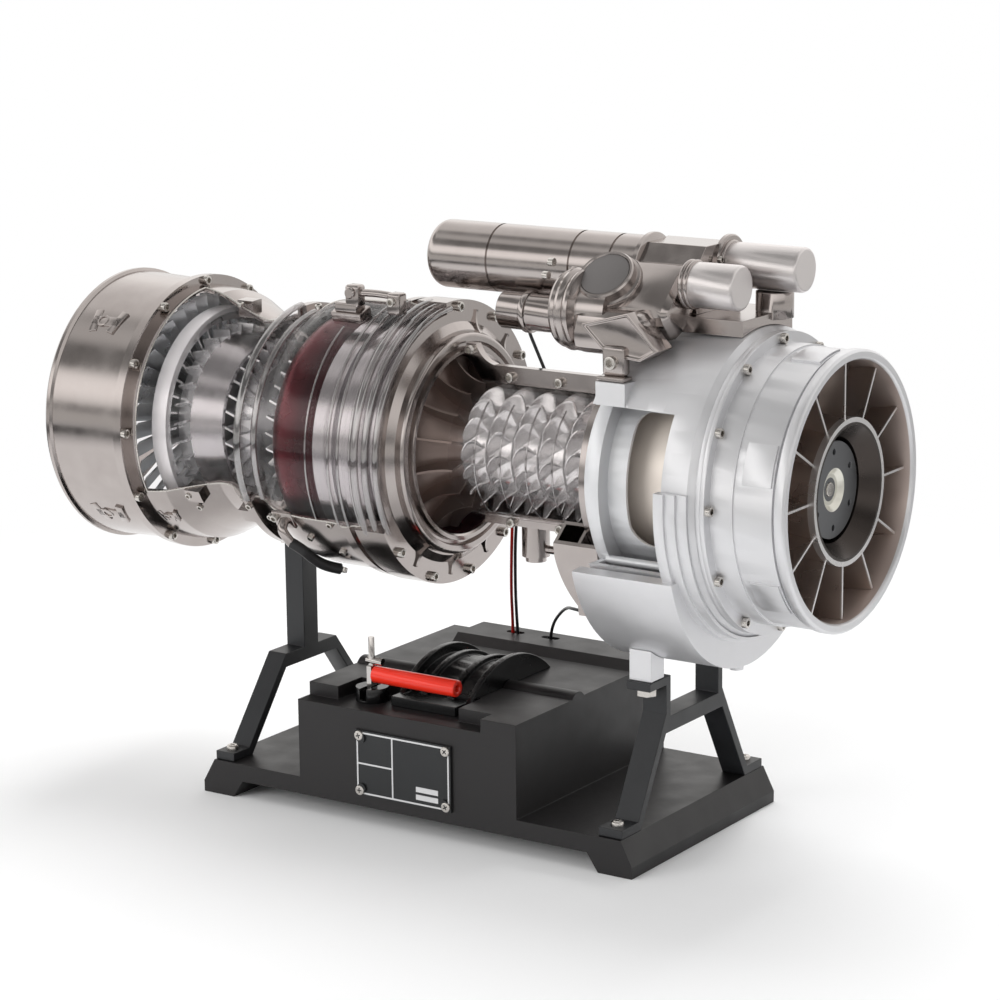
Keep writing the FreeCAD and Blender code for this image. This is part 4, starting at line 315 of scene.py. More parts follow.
full_circle = range(0, 360, 30)
open_circle = range(133, 358, 28)
strip_places = [spot(x, -1.4, above) @ side_seat
                for x, above in ((17, -22.2), (34.5, -22.2), (17, 22.2), (34.5, 22.2), (2.8, 29.3))]
for name, node_name, places in (
        ("exhaust_flange_screws", "hot_section_screws", flange_circle(-100, 42.2, full_circle)),
        ("combustor_rim_screws", "combustor_screws", flange_circle(-4.4, 41.4, open_circle)),
        ("inlet_flange_screws", "front_screws", flange_circle(107.9, 41.9, full_circle)),
        ("split_strip_screws", "split_line_screws", strip_places)):
    add_screws(name, socket_head(HEAD_RADIUS, HEAD_HEIGHT), places, replaced=(node_name,))

# Small cap screws hold the windows, the fuel fittings and the lugs down on the round shells.
# Rows give x, radius and clock angle.
add_screws("shell_cap_screws", socket_head(1.1, 1.2), [on_shell(*place) for place in (
    (-81.4, 36.6, 8.9), (-83, 37.2, 121.4), (-81.9, 36.4, 130.3), (-45.6, 41.4, 17.6), (-58.5, 38.2, 121),
    (-48.6, 40.9, 121.5), (-36.5, 41.4, 131), (-25.5, 41.6, 120.3), (-27.4, 41.4, 139))])

# Pan-head screws hold the leg frames down: a domed head with a cross recess, on the foot tabs.
TAB_TOP = 13.7
TAB_SIDE = 37


def box(length, width, height, place):
    """A sharp box in mm about the middle of its place."""
    choose()
    bpy.ops.mesh.primitive_cube_add(size=1, location=(0, 0, 0))
    made = bpy.context.object
    made.data.transform(place @ Matrix.Diagonal((length * MM, width * MM, height * MM, 1)))
    return made


def cross_head(radius, height):
    """A domed head with a cross recess on the origin, facing up."""
    head = head_blank(radius, height, height * 0.42, 3)
    for angle in (0, 90):
        cut(head, box(radius * 1.06, radius * 0.24, height * 0.85, shift(0, 0, height) @ turn(angle, "Z")))
    return head


tabs = [shift(x, y, TAB_TOP) @ turn(20 + y, "Z") for x in (76, -64.7) for y in (-TAB_SIDE, TAB_SIDE)]
add_screws("foot_pan_screws", cross_head(1.9, 1.4), tabs, replaced=("pan_screws",))

# Silver parts: cast zinc sprayed with satin aluminium lacquer, an even soft sheen with fine flake.
# The inner barrel is drawn tube in a slightly greyer coat.
silver_lacquer = start_finish("satin_silver_lacquer", "#dcdcde", 0.42, metallic=0.7)
add_grain(silver_lacquer, 0.4, (0.38, 0.46), 0.006, tones=("#d6d6d8", "#e2e2e4"))
for name in ("support_blocks", "front_frame", "scroll_case"):
    dress(name, silver_lacquer, 0.25)
drum_silver = start_finish("satin_grey_silver_drum", "#dcdddf", 0.42, metallic=0.6)
add_grain(drum_silver, 0.4, (0.38, 0.46), 0.003)
dress("inner_barrel", drum_silver, 0.25)

# Inlet: the same silver lacquer outside, with the bore and the vane sides toned bronze brown, which is painted
# shade.
# The vanes' front edges are lighter, which is a painted highlight, and the bowl inside the hub is dark, which is
# painted shade.
BORE_RADIUS = 37.45
VANE_EDGE = 127.9
HUB_BOWL_RADIUS = 19.8


def reckon(tree, operation, first, second):
    """A value worked out from a socket and either a number or another socket."""
    node = add_node(tree, "ShaderNodeMath", {"operation": operation}, {0: first})
    if isinstance(second, (int, float)):
        node.inputs[1].default_value = second
    else:
        tree.links.new(second, node.inputs[1])
    return node.outputs[0]


def from_axis(tree):
    """Distance of a point of the surface from the engine axis."""
    coordinates = add_node(tree, "ShaderNodeTexCoord").outputs["Object"]
    lowered = add_node(tree, "ShaderNodeVectorMath", {"operation": "SUBTRACT", 1: AXIS}, {0: coordinates})
    across = add_node(tree, "ShaderNodeVectorMath", {"operation": "MULTIPLY", 1: (0, 1, 1)},
                      {0: lowered.outputs[0]})
    return add_node(tree, "ShaderNodeVectorMath", {"operation": "LENGTH"}, {0: across.outputs[0]}).outputs["Value"]


def along_axis(tree):
    """Place of a point of the surface along the engine axis."""
    coordinates = add_node(tree, "ShaderNodeTexCoord").outputs["Object"]
    return add_node(tree, "ShaderNodeSeparateXYZ", {}, {0: coordinates}).outputs["X"]


inlet_silver = start_finish("silver_outside_bronze_painted_shade_bore", "#dcdcde", 0.38, metallic=0.75)
add_grain(inlet_silver, 0.4, (0.34, 0.42), 0.006)
tree = inlet_silver.node_tree
# The bore is toned bronze brown as painted shade inside the barrel.
bore_painted_shade = reckon(tree, "LESS_THAN", from_axis(tree), BORE_RADIUS * MM)
set_tones(inlet_silver, bore_painted_shade, "#dcdcde", "#c2b3ac")
dress("inlet_barrel", inlet_silver, 0.2)
vane_silver = start_finish("vanes_painted_highlight_edges_painted_shade", "#c6c8ca", 0.3, metallic=0.9)
add_grain(vane_silver, 0.4, (0.25, 0.36), 0.004)
tree = vane_silver.node_tree
# The vanes' lighter front edges are a painted highlight; the bronze brown behind them and the dark hub bowl are
# painted shade.
painted_shade_behind_highlit_edge = reckon(tree, "LESS_THAN", along_axis(tree), VANE_EDGE * MM)
bowl_painted_shade = reckon(tree, "LESS_THAN", from_axis(tree), HUB_BOWL_RADIUS * MM)
set_tones(vane_silver, bowl_painted_shade, blend(tree, painted_shade_behind_highlit_edge, "#dddbda", "#b3a59d"), "#46403d")
dress("swirl_frame", vane_silver)

# Nameplate: etched and anodised aluminium, darkened, held by four small cross-head screws. It has
# a border, two dividers and two bare light fields, and nothing is written on it.
PLATE_FACE = -42.8
LINE_RISE = 0.12
plate_grey = start_finish("dark_anodised_aluminium", "#3c3d3e", 0.35, metallic=0.8)
add_grain(plate_grey, 0.3, (0.3, 0.4), 0.004, stretch=(0.2, 1, 1))
dress("nameplate", plate_grey)
etched = start_finish("etched_bare_aluminium", "#cfcfd0", 0.45, metallic=0.4)
add_grain(etched, 0.25, (0.4, 0.5), 0.003)
border = [(-12.4, 21.2, 28.8, 29.3), (-12.4, 21.2, 9.9, 10.4), (-12.4, -11.9, 10.4, 28.8), (20.7, 21.2, 10.4, 28.8)]
dividers = [(0.4, 0.9, 10.4, 28.8), (-11.9, 0.4, 19.2, 19.7)]
fields = [(9.2, 17.2, 13.9, 15.5), (9.2, 17.2, 11.5, 13.1)]
lines = [box(right - left, LINE_RISE, high - low,
             shift((left + right) / 2, PLATE_FACE - LINE_RISE / 2, (low + high) / 2))
         for left, right, low, high in border + dividers + fields]
complete(merge(lines), "nameplate_lines", etched, "engine", smooth=0)
corners = [shift(x, PLATE_FACE, z) @ side_seat @ turn(x + z, "Z") for x in (-11.3, 20.1) for z in (11, 28.2)]
add_screws("nameplate_screws", cross_head(1.55, 0.8), corners)

# Start lever parts: a ribbed cover and a boss moulded in glossy black ABS, a polished steel lever
# that was turned and bent, and a red ABS grip pressed onto it.
gloss_black = start_finish("glossy_black_abs", "#0d0d0e", 0.24)
add_grain(gloss_black, 0.5, (0.2, 0.3), 0.003)
for name in ("quadrant_cover", "lever_boss"):
    dress(name, gloss_black, 0.3)
red_grip = start_finish("glossy_red_abs", "#dc2c1b", 0.16, ior=1.53)
add_grain(red_grip, 0.6, (0.14, 0.2), 0.001, tones=("#d62816", "#e23322"))
dress("lever_grip", red_grip, 0.5)
polished_steel = start_finish("polished_steel_lever", "#c4c0bd", 0.1, metallic=1.0)
add_grain(polished_steel, 0.5, (0.08, 0.13), 0.0005)
dress("start_lever", polished_steel, 0.2)

# Nickel parts: thin castings plated with bright nickel and lightly brushed, warm grey and blotchy.
# The two canisters are plated in a lighter satin nickel.
warm_nickel = start_finish("brushed_warm_nickel", "#b3aba8", 0.2, metallic=1.0)
add_grain(warm_nickel, 0.3, (0.1, 0.22), 0.004, stretch=(1, 0.15, 0.15), tones=("#a39b98", "#bdb6b3"))
for name in ("exhaust_duct", "exhaust_frame", "turbine_casing", "combustor_casing", "diffuser_case",
             "compressor_casing", "starter_motor"):
    dress(name, warm_nickel)
for name in ("bleed_duct", "accessory_gearbox", "fuel_pump"):
    dress(name, warm_nickel, 0.4)
satin_nickel = start_finish("satin_light_nickel", "#dcd7d6", 0.32, metallic=0.9)
add_grain(satin_nickel, 0.3, (0.28, 0.36), 0.004, tones=("#d6d1d0", "#e2dddc"))
dress("filter_canisters", satin_nickel, 0.9)

# Valve: a stepped bell under a tilted dark cap, a ringed drum, a slanting boss with a raised edge, a
# square flange with two bolts, and a bracket with one screw. All are cast, plated and bolted up.
CAP_TILT = 42
BOSS_FACE = -31.4
BOSS_DEPTH = 9


def open_mesh():
    """Opens the active piece for editing, with all of it selected."""
    bpy.ops.object.mode_set(mode="EDIT")
    bpy.ops.mesh.select_all(action="SELECT")


def face_outward():
    """Turns every face of the skin in edit mode outward."""
    bpy.ops.mesh.select_all(action="SELECT")
    bpy.ops.mesh.normals_make_consistent(inside=False)


def block(length, width, height, place, edge_mm):
    """A box with rounded edges that stands on the origin of its place."""
    made = box(length, width, height, shift(0, 0, height / 2))
    open_mesh()
    round_edges(edge_mm, 3)
    bpy.ops.object.mode_set(mode="OBJECT")
    made.data.transform(place)
    return made


def turned_solid(profile, place):
    """A solid of revolution about the upward line of its place, from pairs of radius and height."""
    choose()
    bpy.ops.mesh.primitive_circle_add(vertices=80, radius=profile[0][0] * MM, fill_type="NGON",
                                      location=(0, 0, 0))
    solid = bpy.context.object
    solid.data.transform(shift(0, 0, profile[0][1]))
    open_mesh()
    for (near, low), (far, high) in zip(profile, profile[1:]):
        bpy.ops.mesh.extrude_region_move(TRANSFORM_OT_translate={"value": (0, 0, (high - low) * MM)})
        bpy.ops.transform.resize(value=(far / near, far / near, 1), center_override=(0, 0, 0))
    face_outward()
    bpy.ops.object.mode_set(mode="OBJECT")
    solid.data.transform(place)
    return solid


cap_place = spot(62.4, -21, 59.2) @ turn(CAP_TILT, "X")
bell = turned_solid([
    (12.6, -17), (12.8, -9), (12.4, -7.9), (11.6, -7.5), (11.2, -7.5), (11.2, -5.9), (10.9, -5.3), (10.2, -5),
    (9.9, -5), (9.9, -3.2), (9.6, -2.6), (8.9, -2.3), (8.7, -1.2), (8.6, 0), (8.2, 0.5), (7.6, 0.5), (7.3, 0.1)],
    cap_place)
drum = turned_solid([
    (9.4, 48.6), (10.8, 49), (11.2, 49.8), (10.9, 50.7), (11.6, 51.3), (11.9, 52.2), (11.6, 53.1), (11.2, 53.5),
    (11.6, 54), (11.8, 54.8), (11.5, 55.5), (10.6, 55.8), (9, 56.6), (9, 66)],
    spot(0, -19.6, 48.4) @ forward_seat)
flange = [block(2, 14, 8, spot(50.6, -18.5, 50) @ turn(CAP_TILT, "X"), 0.5),
          block(1.4, 11, 8, spot(48.8, -18.5, 49.4) @ turn(CAP_TILT, "X"), 0.4)]
castings = [block(21, 21, 14.5, cap_place @ shift(11.6, 0.5, -18), 4.5),
            block(25, 11.5, 13, spot(67.6, -24, 37.4), 4)]
boss_corners = ((60.4, 46.5), (75.9, 50.7), (85.6, 40.6), (80, 37.3), (69, 38.3))
choose()
bpy.ops.mesh.primitive_circle_add(vertices=len(boss_corners), radius=1, fill_type="NGON", location=(0, 0, 0))
boss = bpy.context.object
for point, (x, above) in zip(boss.data.vertices, boss_corners):
    point.co = spot(x, BOSS_FACE, above).translation
open_mesh()
bpy.ops.mesh.extrude_region_move(TRANSFORM_OT_translate={"value": (0, BOSS_DEPTH * MM, 0)})
face_outward()
pick(faces=lambda face: face.center.y < (BOSS_FACE + 0.1) * MM)
bpy.ops.mesh.inset(thickness=0.7 * MM)
bpy.ops.mesh.inset(thickness=0.35 * MM, depth=-0.5 * MM)
bpy.ops.mesh.select_all(action="SELECT")
round_edges(0.22, 2)
bpy.ops.object.mode_set(mode="OBJECT")
bracket = [block(9, 5, 1.2, spot(72.1, -32, 31.5), 0.3),
           block(7.4, 3.9, 8.8, spot(71.9, -30.55, 32.5) @ turn(2, "X"), 1.2)]
complete(merge([bell, drum] + flange + castings + [boss] + bracket), "valve_castings", warm_nickel, "engine",
         smooth=28, replaced=("valve_body",))
dark_cap = start_finish("dark_matt_cap", "#5f5c5b", 0.75)
add_grain(dark_cap, 0.3, (0.7, 0.8), 0.01)
complete(turned_solid([(7.25, 0), (7.25, 0.25), (7.1, 0.35)], cap_place), "valve_cap_face", dark_cap,
         "engine")
add_screws("bracket_screw", socket_head(1.9, 1.7), [spot(71.7, -32.4, 36.6) @ side_seat])
rear_seat = turn(-90, "Y")
add_screws("flange_bolts", socket_head(1.2, 1.8),
           [spot(47.2, across, above) @ rear_seat for across, above in ((-27, 58.6), (-24, 62))])

# Accessory plate: a thin upright plate with a round hump behind the starter's end, and rings at the
# roots of the canisters, held by two small screws.
def round_ring(radius, thickness, place):
    """A ring of round wire in mm about the upward line of its place."""
    choose()
    bpy.ops.mesh.primitive_torus_add(major_segments=64, minor_segments=12, major_radius=radius * MM,
                                     minor_radius=thickness * MM, location=(0, 0, 0))
    ring = bpy.context.object
    ring.data.transform(place)
    return ring


hump = turned_solid([(11, 63.9), (11.3, 64.1), (11.3, 65.3), (11, 65.5)], spot(0, 1, 57.6) @ forward_seat)
web = block(1.6, 12, 12, spot(64.6, -8, 50), 0.3)
far_flange = turned_solid([(8.2, 84), (8.6, 84.4), (8.6, 85.6), (8.2, 86)], spot(0, 10, 60) @ forward_seat)
collars = [round_ring(6.4, 0.7, spot(*place) @ forward_seat)
           for place in ((85.6, -12.5, 57.2), (87.2, -12.5, 57.2), (86, 10, 60))]
complete(merge([hump, web, far_flange] + collars), "accessory_plate", warm_nickel, "engine")
add_screws("canister_screws", socket_head(1.1, 1.2),
           [spot(85.8, across, above) @ forward_seat for across, above in ((2.6, 62.2), (15.4, 55.4))])

# Clear windows: acrylic, injection moulded and polished, crisp to look through, bright at a slant.
SLANT_POWER = 4.5
SHEEN_ROUGHNESS = 0.03


def mix_shaders(tree, share, first, second):
    """The first look where the share is 0 and the second where it is 1."""
    return add_node(tree, "ShaderNodeMixShader", {}, {0: share, 1: first, 2: second}).outputs[0]


def acrylic(name, least, most, tint):
    """A clear plastic that mirrors a share of the room, the least face on and the most at a slant."""
    material = bpy.data.materials.new(name)
    material.use_nodes = True
    tree = material.node_tree
    tree.nodes.remove(tree.nodes["Principled BSDF"])
    facing = add_node(tree, "ShaderNodeLayerWeight", {"Blend": 0.5}).outputs["Facing"]
    share = remap(tree, reckon(tree, "POWER", facing, SLANT_POWER), (0, 1), (least, most))
    see_through = add_node(tree, "ShaderNodeBsdfTransparent", {"Color": linear(tint)})
    sheen = add_node(tree, "ShaderNodeBsdfGlossy", {"Roughness": SHEEN_ROUGHNESS})
    mixed = mix_shaders(tree, share, see_through.outputs[0], sheen.outputs[0])
    tree.links.new(mixed, tree.nodes["Material Output"].inputs["Surface"])
    return material


clear_acrylic = acrylic("clear_acrylic", 0.02, 0.5, "#fbfafa")
bright_acrylic = acrylic("clear_acrylic_ribs", 0.32, 0.95, "#dedada")
for name in ("turbine_window", "combustor_window", "compressor_window"):
    dress(name, clear_acrylic)

# Window ribs: clear hoops and fine lines moulded with the combustor and compressor windows, and a
# thin bright bead where each window meets its casing. Rows of hoops give x, radius, the first and
# the last clock angle, width and rise.
ARC_STEP = 3
BEAD_RADIUS = 0.3


def ring_arc(x, radius, start, end, width, rise):
    """A rounded rib about the engine axis at x, from one clock angle to another."""
    choose()
    bpy.ops.mesh.primitive_circle_add(vertices=14, radius=1, fill_type="NGON", location=(0, 0, 0))
    rib = bpy.context.object
    section = Matrix.Diagonal((width / 2 * MM, rise / 2 * MM, 1, 1))
    rib.data.transform(on_shell(x, radius, start) @ side_seat @ section)
    open_mesh()
    bpy.ops.mesh.spin(steps=int((end - start) / ARC_STEP), angle=math.radians(start - end), center=AXIS,
                      axis=(1, 0, 0))
    face_outward()
    bpy.ops.object.mode_set(mode="OBJECT")
    return rib


def tube(name, points, radius_mm, steps):
    """A round curve with closed ends through points in metres."""
    curve = bpy.data.curves.new(name, "CURVE")
    curve.dimensions = "3D"
    curve.bevel_depth = radius_mm * MM
    curve.bevel_resolution = 4
    curve.resolution_u = steps
    curve.use_fill_caps = True
    spline = curve.splines.new("NURBS")
    spline.points.add(len(points) - 1)
    for point, place in zip(spline.points, points):
        point.co = (*place, 1)
    spline.order_u = 3
    spline.use_endpoint_u = True
    made = bpy.data.objects.new(name, curve)
    bpy.context.scene.collection.objects.link(made)
    return made


def pipe(places, radius_mm):
    """A stiff round pipe through a row of places."""
    choose(tube("pipe", [place.translation for place in places], radius_mm, 8))
    bpy.ops.object.convert(target="MESH")
    return bpy.context.object


hoops = [
    (-58.2, 38.8, 7, 117, 2.6, 1.6), (-53.2, 37.0, 7, 117, 2.2, 1.6), (-11.4, 42.6, 2, 121, 2.4, 2.2),
    (-8.0, 42.0, 1, 121, 2.2, 2.2), (-4.7, 41.2, 2, 121, 2.0, 2.0), (-20.8, 43.1, 6, 118, 0.9, 0.9),
    (-17.2, 43.1, 6, 118, 0.9, 0.9), (-30, 42.0, 30, 118, 0.6, 0.5), (-13.6, 42.1, 6, 118, 0.8, 0.6)]
stage_lines = [(16.7 + 9.1 * line, 21.1, 38, 142, 0.6, 0.5) for line in range(4)]
complete(merge([ring_arc(*row) for row in hoops + stage_lines]), "window_ribs", bright_acrylic, "engine")
turbine_edge = ((-96, 40.9), (-90, 39.9), (-84, 36.8), (-74, 32.4), (-69, 32.4), (-62.2, 35.4), (-60.8, 38.4))
burner_edge = ((-57.3, 35.6), (-54, 35.6), (-47, 40.4), (-38, 41.9), (-21, 41.9), (-20.6, 43.1), (-17.4, 43.1),
               (-17, 41.9), (-12, 41.9), (-6.2, 39.1))
beads = [pipe([on_shell(x, radius, clock) for x, radius in edge], BEAD_RADIUS) for clock, edge in (
    (6.3, turbine_edge), (117.7, turbine_edge), (5.3, burner_edge), (118.7, burner_edge))]
beads.append(ring_arc(-96.2, 40.9, 6.3, 117.7, BEAD_RADIUS * 2, BEAD_RADIUS * 2))
complete(merge(beads), "window_beads", bright_steel, "engine")

# Fuel fittings: a stepped nickel block, a post with a short plated pipe and its lug on top, and below
# a plate with an elbow and a thick black rubber hose.
top_block = [
    block(11, 6, 3.2, on_shell(-31.5, 40.6, 21), 0.4), block(8, 5, 2.8, spot(-31.6, -15.6, 40.2), 0.4),
    block(5, 4.4, 7.2, spot(-29.4, -15.8, 41.4), 1.0), block(4.6, 4.6, 6.6, spot(-14.2, -15.6, 40.6), 0.9),
    turned_solid([(1.7, 0), (1.7, 0.9), (1.4, 1.2)], spot(-29.4, -18, 46.2) @ side_seat),
    pipe([spot(-28.5, -15.8, 46.1), spot(-21, -15.8, 46.6), spot(-15.5, -15.7, 46)], 1.15)]
lower_plate = block(7.5, 6, 1.4, on_shell(-43.5, 40.6, 121.8), 0.4)
elbow = pipe([on_shell(*place) for place in (
    (-43.5, 41, 122), (-43.3, 44.2, 122.6), (-42, 45.4, 126), (-41, 45.4, 130.5))], 1.5)
complete(merge(top_block + [lower_plate, elbow]), "fuel_fittings", warm_nickel, "engine",
         replaced=("fuel_tube_top", "tube_fittings"))
black_rubber = start_finish("black_rubber_hose", "#1b1b1c", 0.45)
add_grain(black_rubber, 0.4, (0.4, 0.5), 0.008)
hose = pipe([on_shell(*place) for place in (
    (-41.2, 45.4, 129.5), (-38.4, 45.6, 132), (-37.4, 45.4, 138.3), (-36.1, 45.4, 143.4), (-34.4, 44.9, 148),
    (-32.9, 44.4, 151))], 1.7)
complete(hose, "fuel_hose", black_rubber, "engine", replaced=("fuel_tube_bottom",))
add_screws("fitting_screws", socket_head(1.3, 1.5), [
    spot(-14.2, -17.8, 44.6) @ side_seat, on_shell(-46, 41.9, 120), on_shell(-32.6, 43.6, 152.4)])

# Exhaust pads: three flat lobed pads on the duct, each with a raised eye round its hole, spot welded
# and plated. Each is a long bar and two slanting cross bars (length, width, place along and turn).
PAD_BARS = ((11, 3.6, 0, 0), (2.8, 8.6, -4.2, 12), (2.8, 8.6, 4.4, -14))
PAD_HEIGHT = 0.9
EYE_PROFILE = ((2.1, 0.6), (2.1, 1.0), (1.9, 1.15), (1.35, 1.15), (1.25, 0.3))
pads = []
for x, radius, clock, size in ((-117.2, 41.7, 41.7, 1), (-116.4, 41.7, 134.2, 1), (-93.6, 39.7, 134.1, 0.6)):
    seat = on_shell(x, radius, clock)
    for length, width, along, angle in PAD_BARS:
        bar_place = seat @ shift(along * size, 0, 0) @ turn(angle, "Z")
        pads.append(block(length * size, width * size, PAD_HEIGHT, bar_place, 0.25))
    eye = [(reach * size, rise) for reach, rise in EYE_PROFILE]
    pads.append(turned_solid(eye, seat @ shift(-1.2 * size, 0, 0)))
complete(merge(pads), "exhaust_pads", warm_nickel, "engine")

# Shroud ring: a white-silver sheet band fixed in the casing, just ahead of the rear turbine stage.
band = cylinder(120, 34.4, 5.6, spot(-92.4, 0, 0) @ forward_seat, ends="NOTHING")
wall = band.modifiers.new("wall", "SOLIDIFY")
wall.thickness = 1.6 * MM
wall.offset = -1
lip = band.modifiers.new("lip", "BEVEL")
lip.width = 0.2 * MM
lip.segments = 2
apply_modifiers(band)
white_silver = start_finish("white_silver_band", "#e6e5e6", 0.36, metallic=0.35)
add_grain(white_silver, 0.4, (0.3, 0.4), 0.004)
complete(band, "shroud_ring", white_silver, "engine")

# Liner: a dark red metallic lacquer, redder towards the rear, in two grey and silver plated bands.
red_liner = start_finish("dark_red_metallic_lacquer", "#742c35", 0.3, metallic=0.9)
add_grain(red_liner, 0.6, (0.24, 0.32), 0.0006)
tree = red_liner.node_tree
forward = remap(tree, along_axis(tree), (-50 * MM, -36 * MM))
set_tones(red_liner, forward, "#7a2f38", "#402327")
dress("combustor_liner", red_liner)
grey_band = start_finish("satin_grey_plating", "#c6c3c5", 0.2, metallic=0.95)
add_grain(grey_band, 0.5, (0.16, 0.26), 0.0008)
for name in ("liner_bands", "turbine_duct"):
    dress(name, grey_band)

# Rotors: zinc castings vacuum plated bright silver, with blades that catch the light.
rotor_silver = start_finish("vacuum_plated_silver", "#eaeaeb", 0.28, metallic=0.8)
add_grain(rotor_silver, 0.5, (0.24, 0.32), 0.001)
for name in ("power_turbine_stage_1", "turbine_nozzle", "compressor_drum", "gas_generator_turbine"):
    dress(name, rotor_silver)

# Rear power turbine stage: forty broad cast blades on a round hub. The blades overlap, so that from
# the near side they look like a closed grey ring with fine dark lines.
REAR_STAGE = -98.5
REAR_BLADES = 40
REAR_CHORD = 6.4
REAR_ROOT = 14.6
REAR_SPAN = 23.8


def clock_turn(degrees):
    """A turn about the engine axis."""
    return Matrix.Translation(AXIS) @ turn(degrees, "X") @ Matrix.Translation(-AXIS)


def blade(shape, columns, rows, thickness_mm, rounded=False):
    """A thin blade at the top of its ring: shape gives x, across and above in mm for a point of its
    chord (-1 to 1) and its span (0 to 1)."""
    choose()
    bpy.ops.mesh.primitive_grid_add(x_subdivisions=columns, y_subdivisions=rows, size=2)
    sheet = bpy.context.object
    for point in sheet.data.vertices:
        point.co = spot(*shape(point.co.x, (point.co.y + 1) / 2)).translation
    wall = sheet.modifiers.new("wall", "SOLIDIFY")
    wall.thickness = thickness_mm * MM
    wall.offset = 0
    if rounded:
        rounding = sheet.modifiers.new("rounding", "SUBSURF")
        rounding.levels = 1
    apply_modifiers(sheet)
    return sheet


def rear_shape(chord, span):
    """A lightly cupped blade with more stagger towards its tip."""
    stagger = math.radians(48 + 14 * span)
    half = chord * REAR_CHORD / 2
    cup = 0.6 * (1 - chord * chord)
    return REAR_STAGE + half * math.cos(stagger), half * math.sin(stagger) + cup, REAR_ROOT + REAR_SPAN * span


blade_steel = start_finish("grey_blade_casting", "#b9bcbf", 0.3, metallic=0.85)
add_grain(blade_steel, 0.5, (0.24, 0.36), 0.004)
rear_ring = repeat(blade(rear_shape, 5, 4, 0.45),
                   [clock_turn(number * 360 / REAR_BLADES) for number in range(REAR_BLADES)])
rear_hub = turned_solid([(14.6, -2.1), (15, -1.7), (15, 1.7), (14.6, 2.1)], spot(REAR_STAGE, 0, 0) @ forward_seat)
complete(merge([rear_ring, rear_hub]), "rear_turbine_stage", blade_steel, "power_rotor",
         replaced=("power_turbine_stage_2",))

# Compressor blading: five cast rings of sixteen broad leaf blades. Each blade is cupped, twisted
# and rounded at its tip, and leans over the next one, so that the rings look like fish scales.
STAGE_START = 7.4
STAGE_PITCH = 9.1
STAGE_GAP = 0.6
BLADE_COUNT = 16
BLADE_CHORD = 9.6
BLADE_ROOT = 13.5
BLADE_TIP = 18.9
HUB_RADIUS = 14


def leaf_shape(chord, span):
    """A cupped leaf that narrows and leans over towards its round tip."""
    stagger = math.radians(34 + 16 * span)
    half = chord * BLADE_CHORD / 2 * (1 - 0.12 * span)
    cup = 1.3 * (1 - chord * chord) * (0.3 + span)
    lean = 2.6 * span
    tip = BLADE_TIP - 1.7 * abs(chord) ** 2.6
    return half * math.cos(stagger), half * math.sin(stagger) + cup + lean, BLADE_ROOT + (tip - BLADE_ROOT) * span


blade_silver = start_finish("plated_zinc_blades", "#efeeee", 0.2, metallic=0.78)
add_grain(blade_silver, 0.5, (0.16, 0.26), 0.001)
for stage in range(5):
    middle = STAGE_START + STAGE_PITCH * (stage + 0.5)
    clocks = [(number + 0.5 * (stage % 2)) * 360 / BLADE_COUNT for number in range(BLADE_COUNT)]
    blades = repeat(blade(leaf_shape, 8, 5, 0.55, rounded=True),
                    [clock_turn(clock) @ shift(middle, 0, 0) for clock in clocks])
    hub_place = spot(middle - STAGE_GAP / 2, 0, 0) @ forward_seat
    hub = cylinder(72, HUB_RADIUS, STAGE_PITCH - STAGE_GAP, hub_place)
    pick(edges=lambda a, b: abs(a.x - b.x) < 0.1 * MM)
    round_edges(0.35, 2)
    bpy.ops.object.mode_set(mode="OBJECT")
    complete(merge([blades, hub]), f"compressor_blades_{stage + 1}", blade_silver, "gas_generator",
             replaced=(f"compressor_stage_{stage + 1}",))

# Impeller, core and coupling: a bronzed steel impeller, a core ring in cream lacquer, and a plated
# grey coupling disc with a light ring round its bore.
dark_impeller = start_finish("dark_bronzed_steel", "#84756f", 0.34, metallic=0.8)
add_grain(dark_impeller, 0.5, (0.28, 0.4), 0.004)
dress("impeller", dark_impeller)
cream_core = start_finish("cream_lacquer", "#e3d9cf", 0.35, metallic=0.2)
add_grain(cream_core, 0.5, (0.3, 0.4), 0.004)
dress("inner_core", cream_core)
coupling_grey = start_finish("grey_disc_light_bore", "#717274", 0.34, metallic=0.8)
add_grain(coupling_grey, 0.4, (0.3, 0.4), 0.004)
tree = coupling_grey.node_tree
radius = from_axis(tree)
light_ring = reckon(tree, "MULTIPLY", reckon(tree, "LESS_THAN", radius, 6.25 * MM),
                    reckon(tree, "GREATER_THAN", radius, 3.4 * MM))
set_tones(coupling_grey, light_ring, "#717274", "#e2e0d6")
dress("output_coupling", coupling_grey, 0.2)

# Leads: thin stranded wires in red and black PVC, from the base up to the drive inside the engine.
WIRE_MM = 1.0
red_pvc = start_finish("red_pvc", "#a01c16", 0.35, ior=1.52)
black_pvc = start_finish("black_pvc", "#1a1a1b", 0.35, ior=1.52)
for pvc in (red_pvc, black_pvc):
    add_grain(pvc, 0.5, (0.3, 0.42), 0.005)


def lead(name, node_name, material, route):
    """One thin wire along its route of points in metres."""
    wire = tube(name, route, WIRE_MM / 2, 16)
    wire.data.materials.append(material)
    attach(wire, "engine")
    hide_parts(node_name)


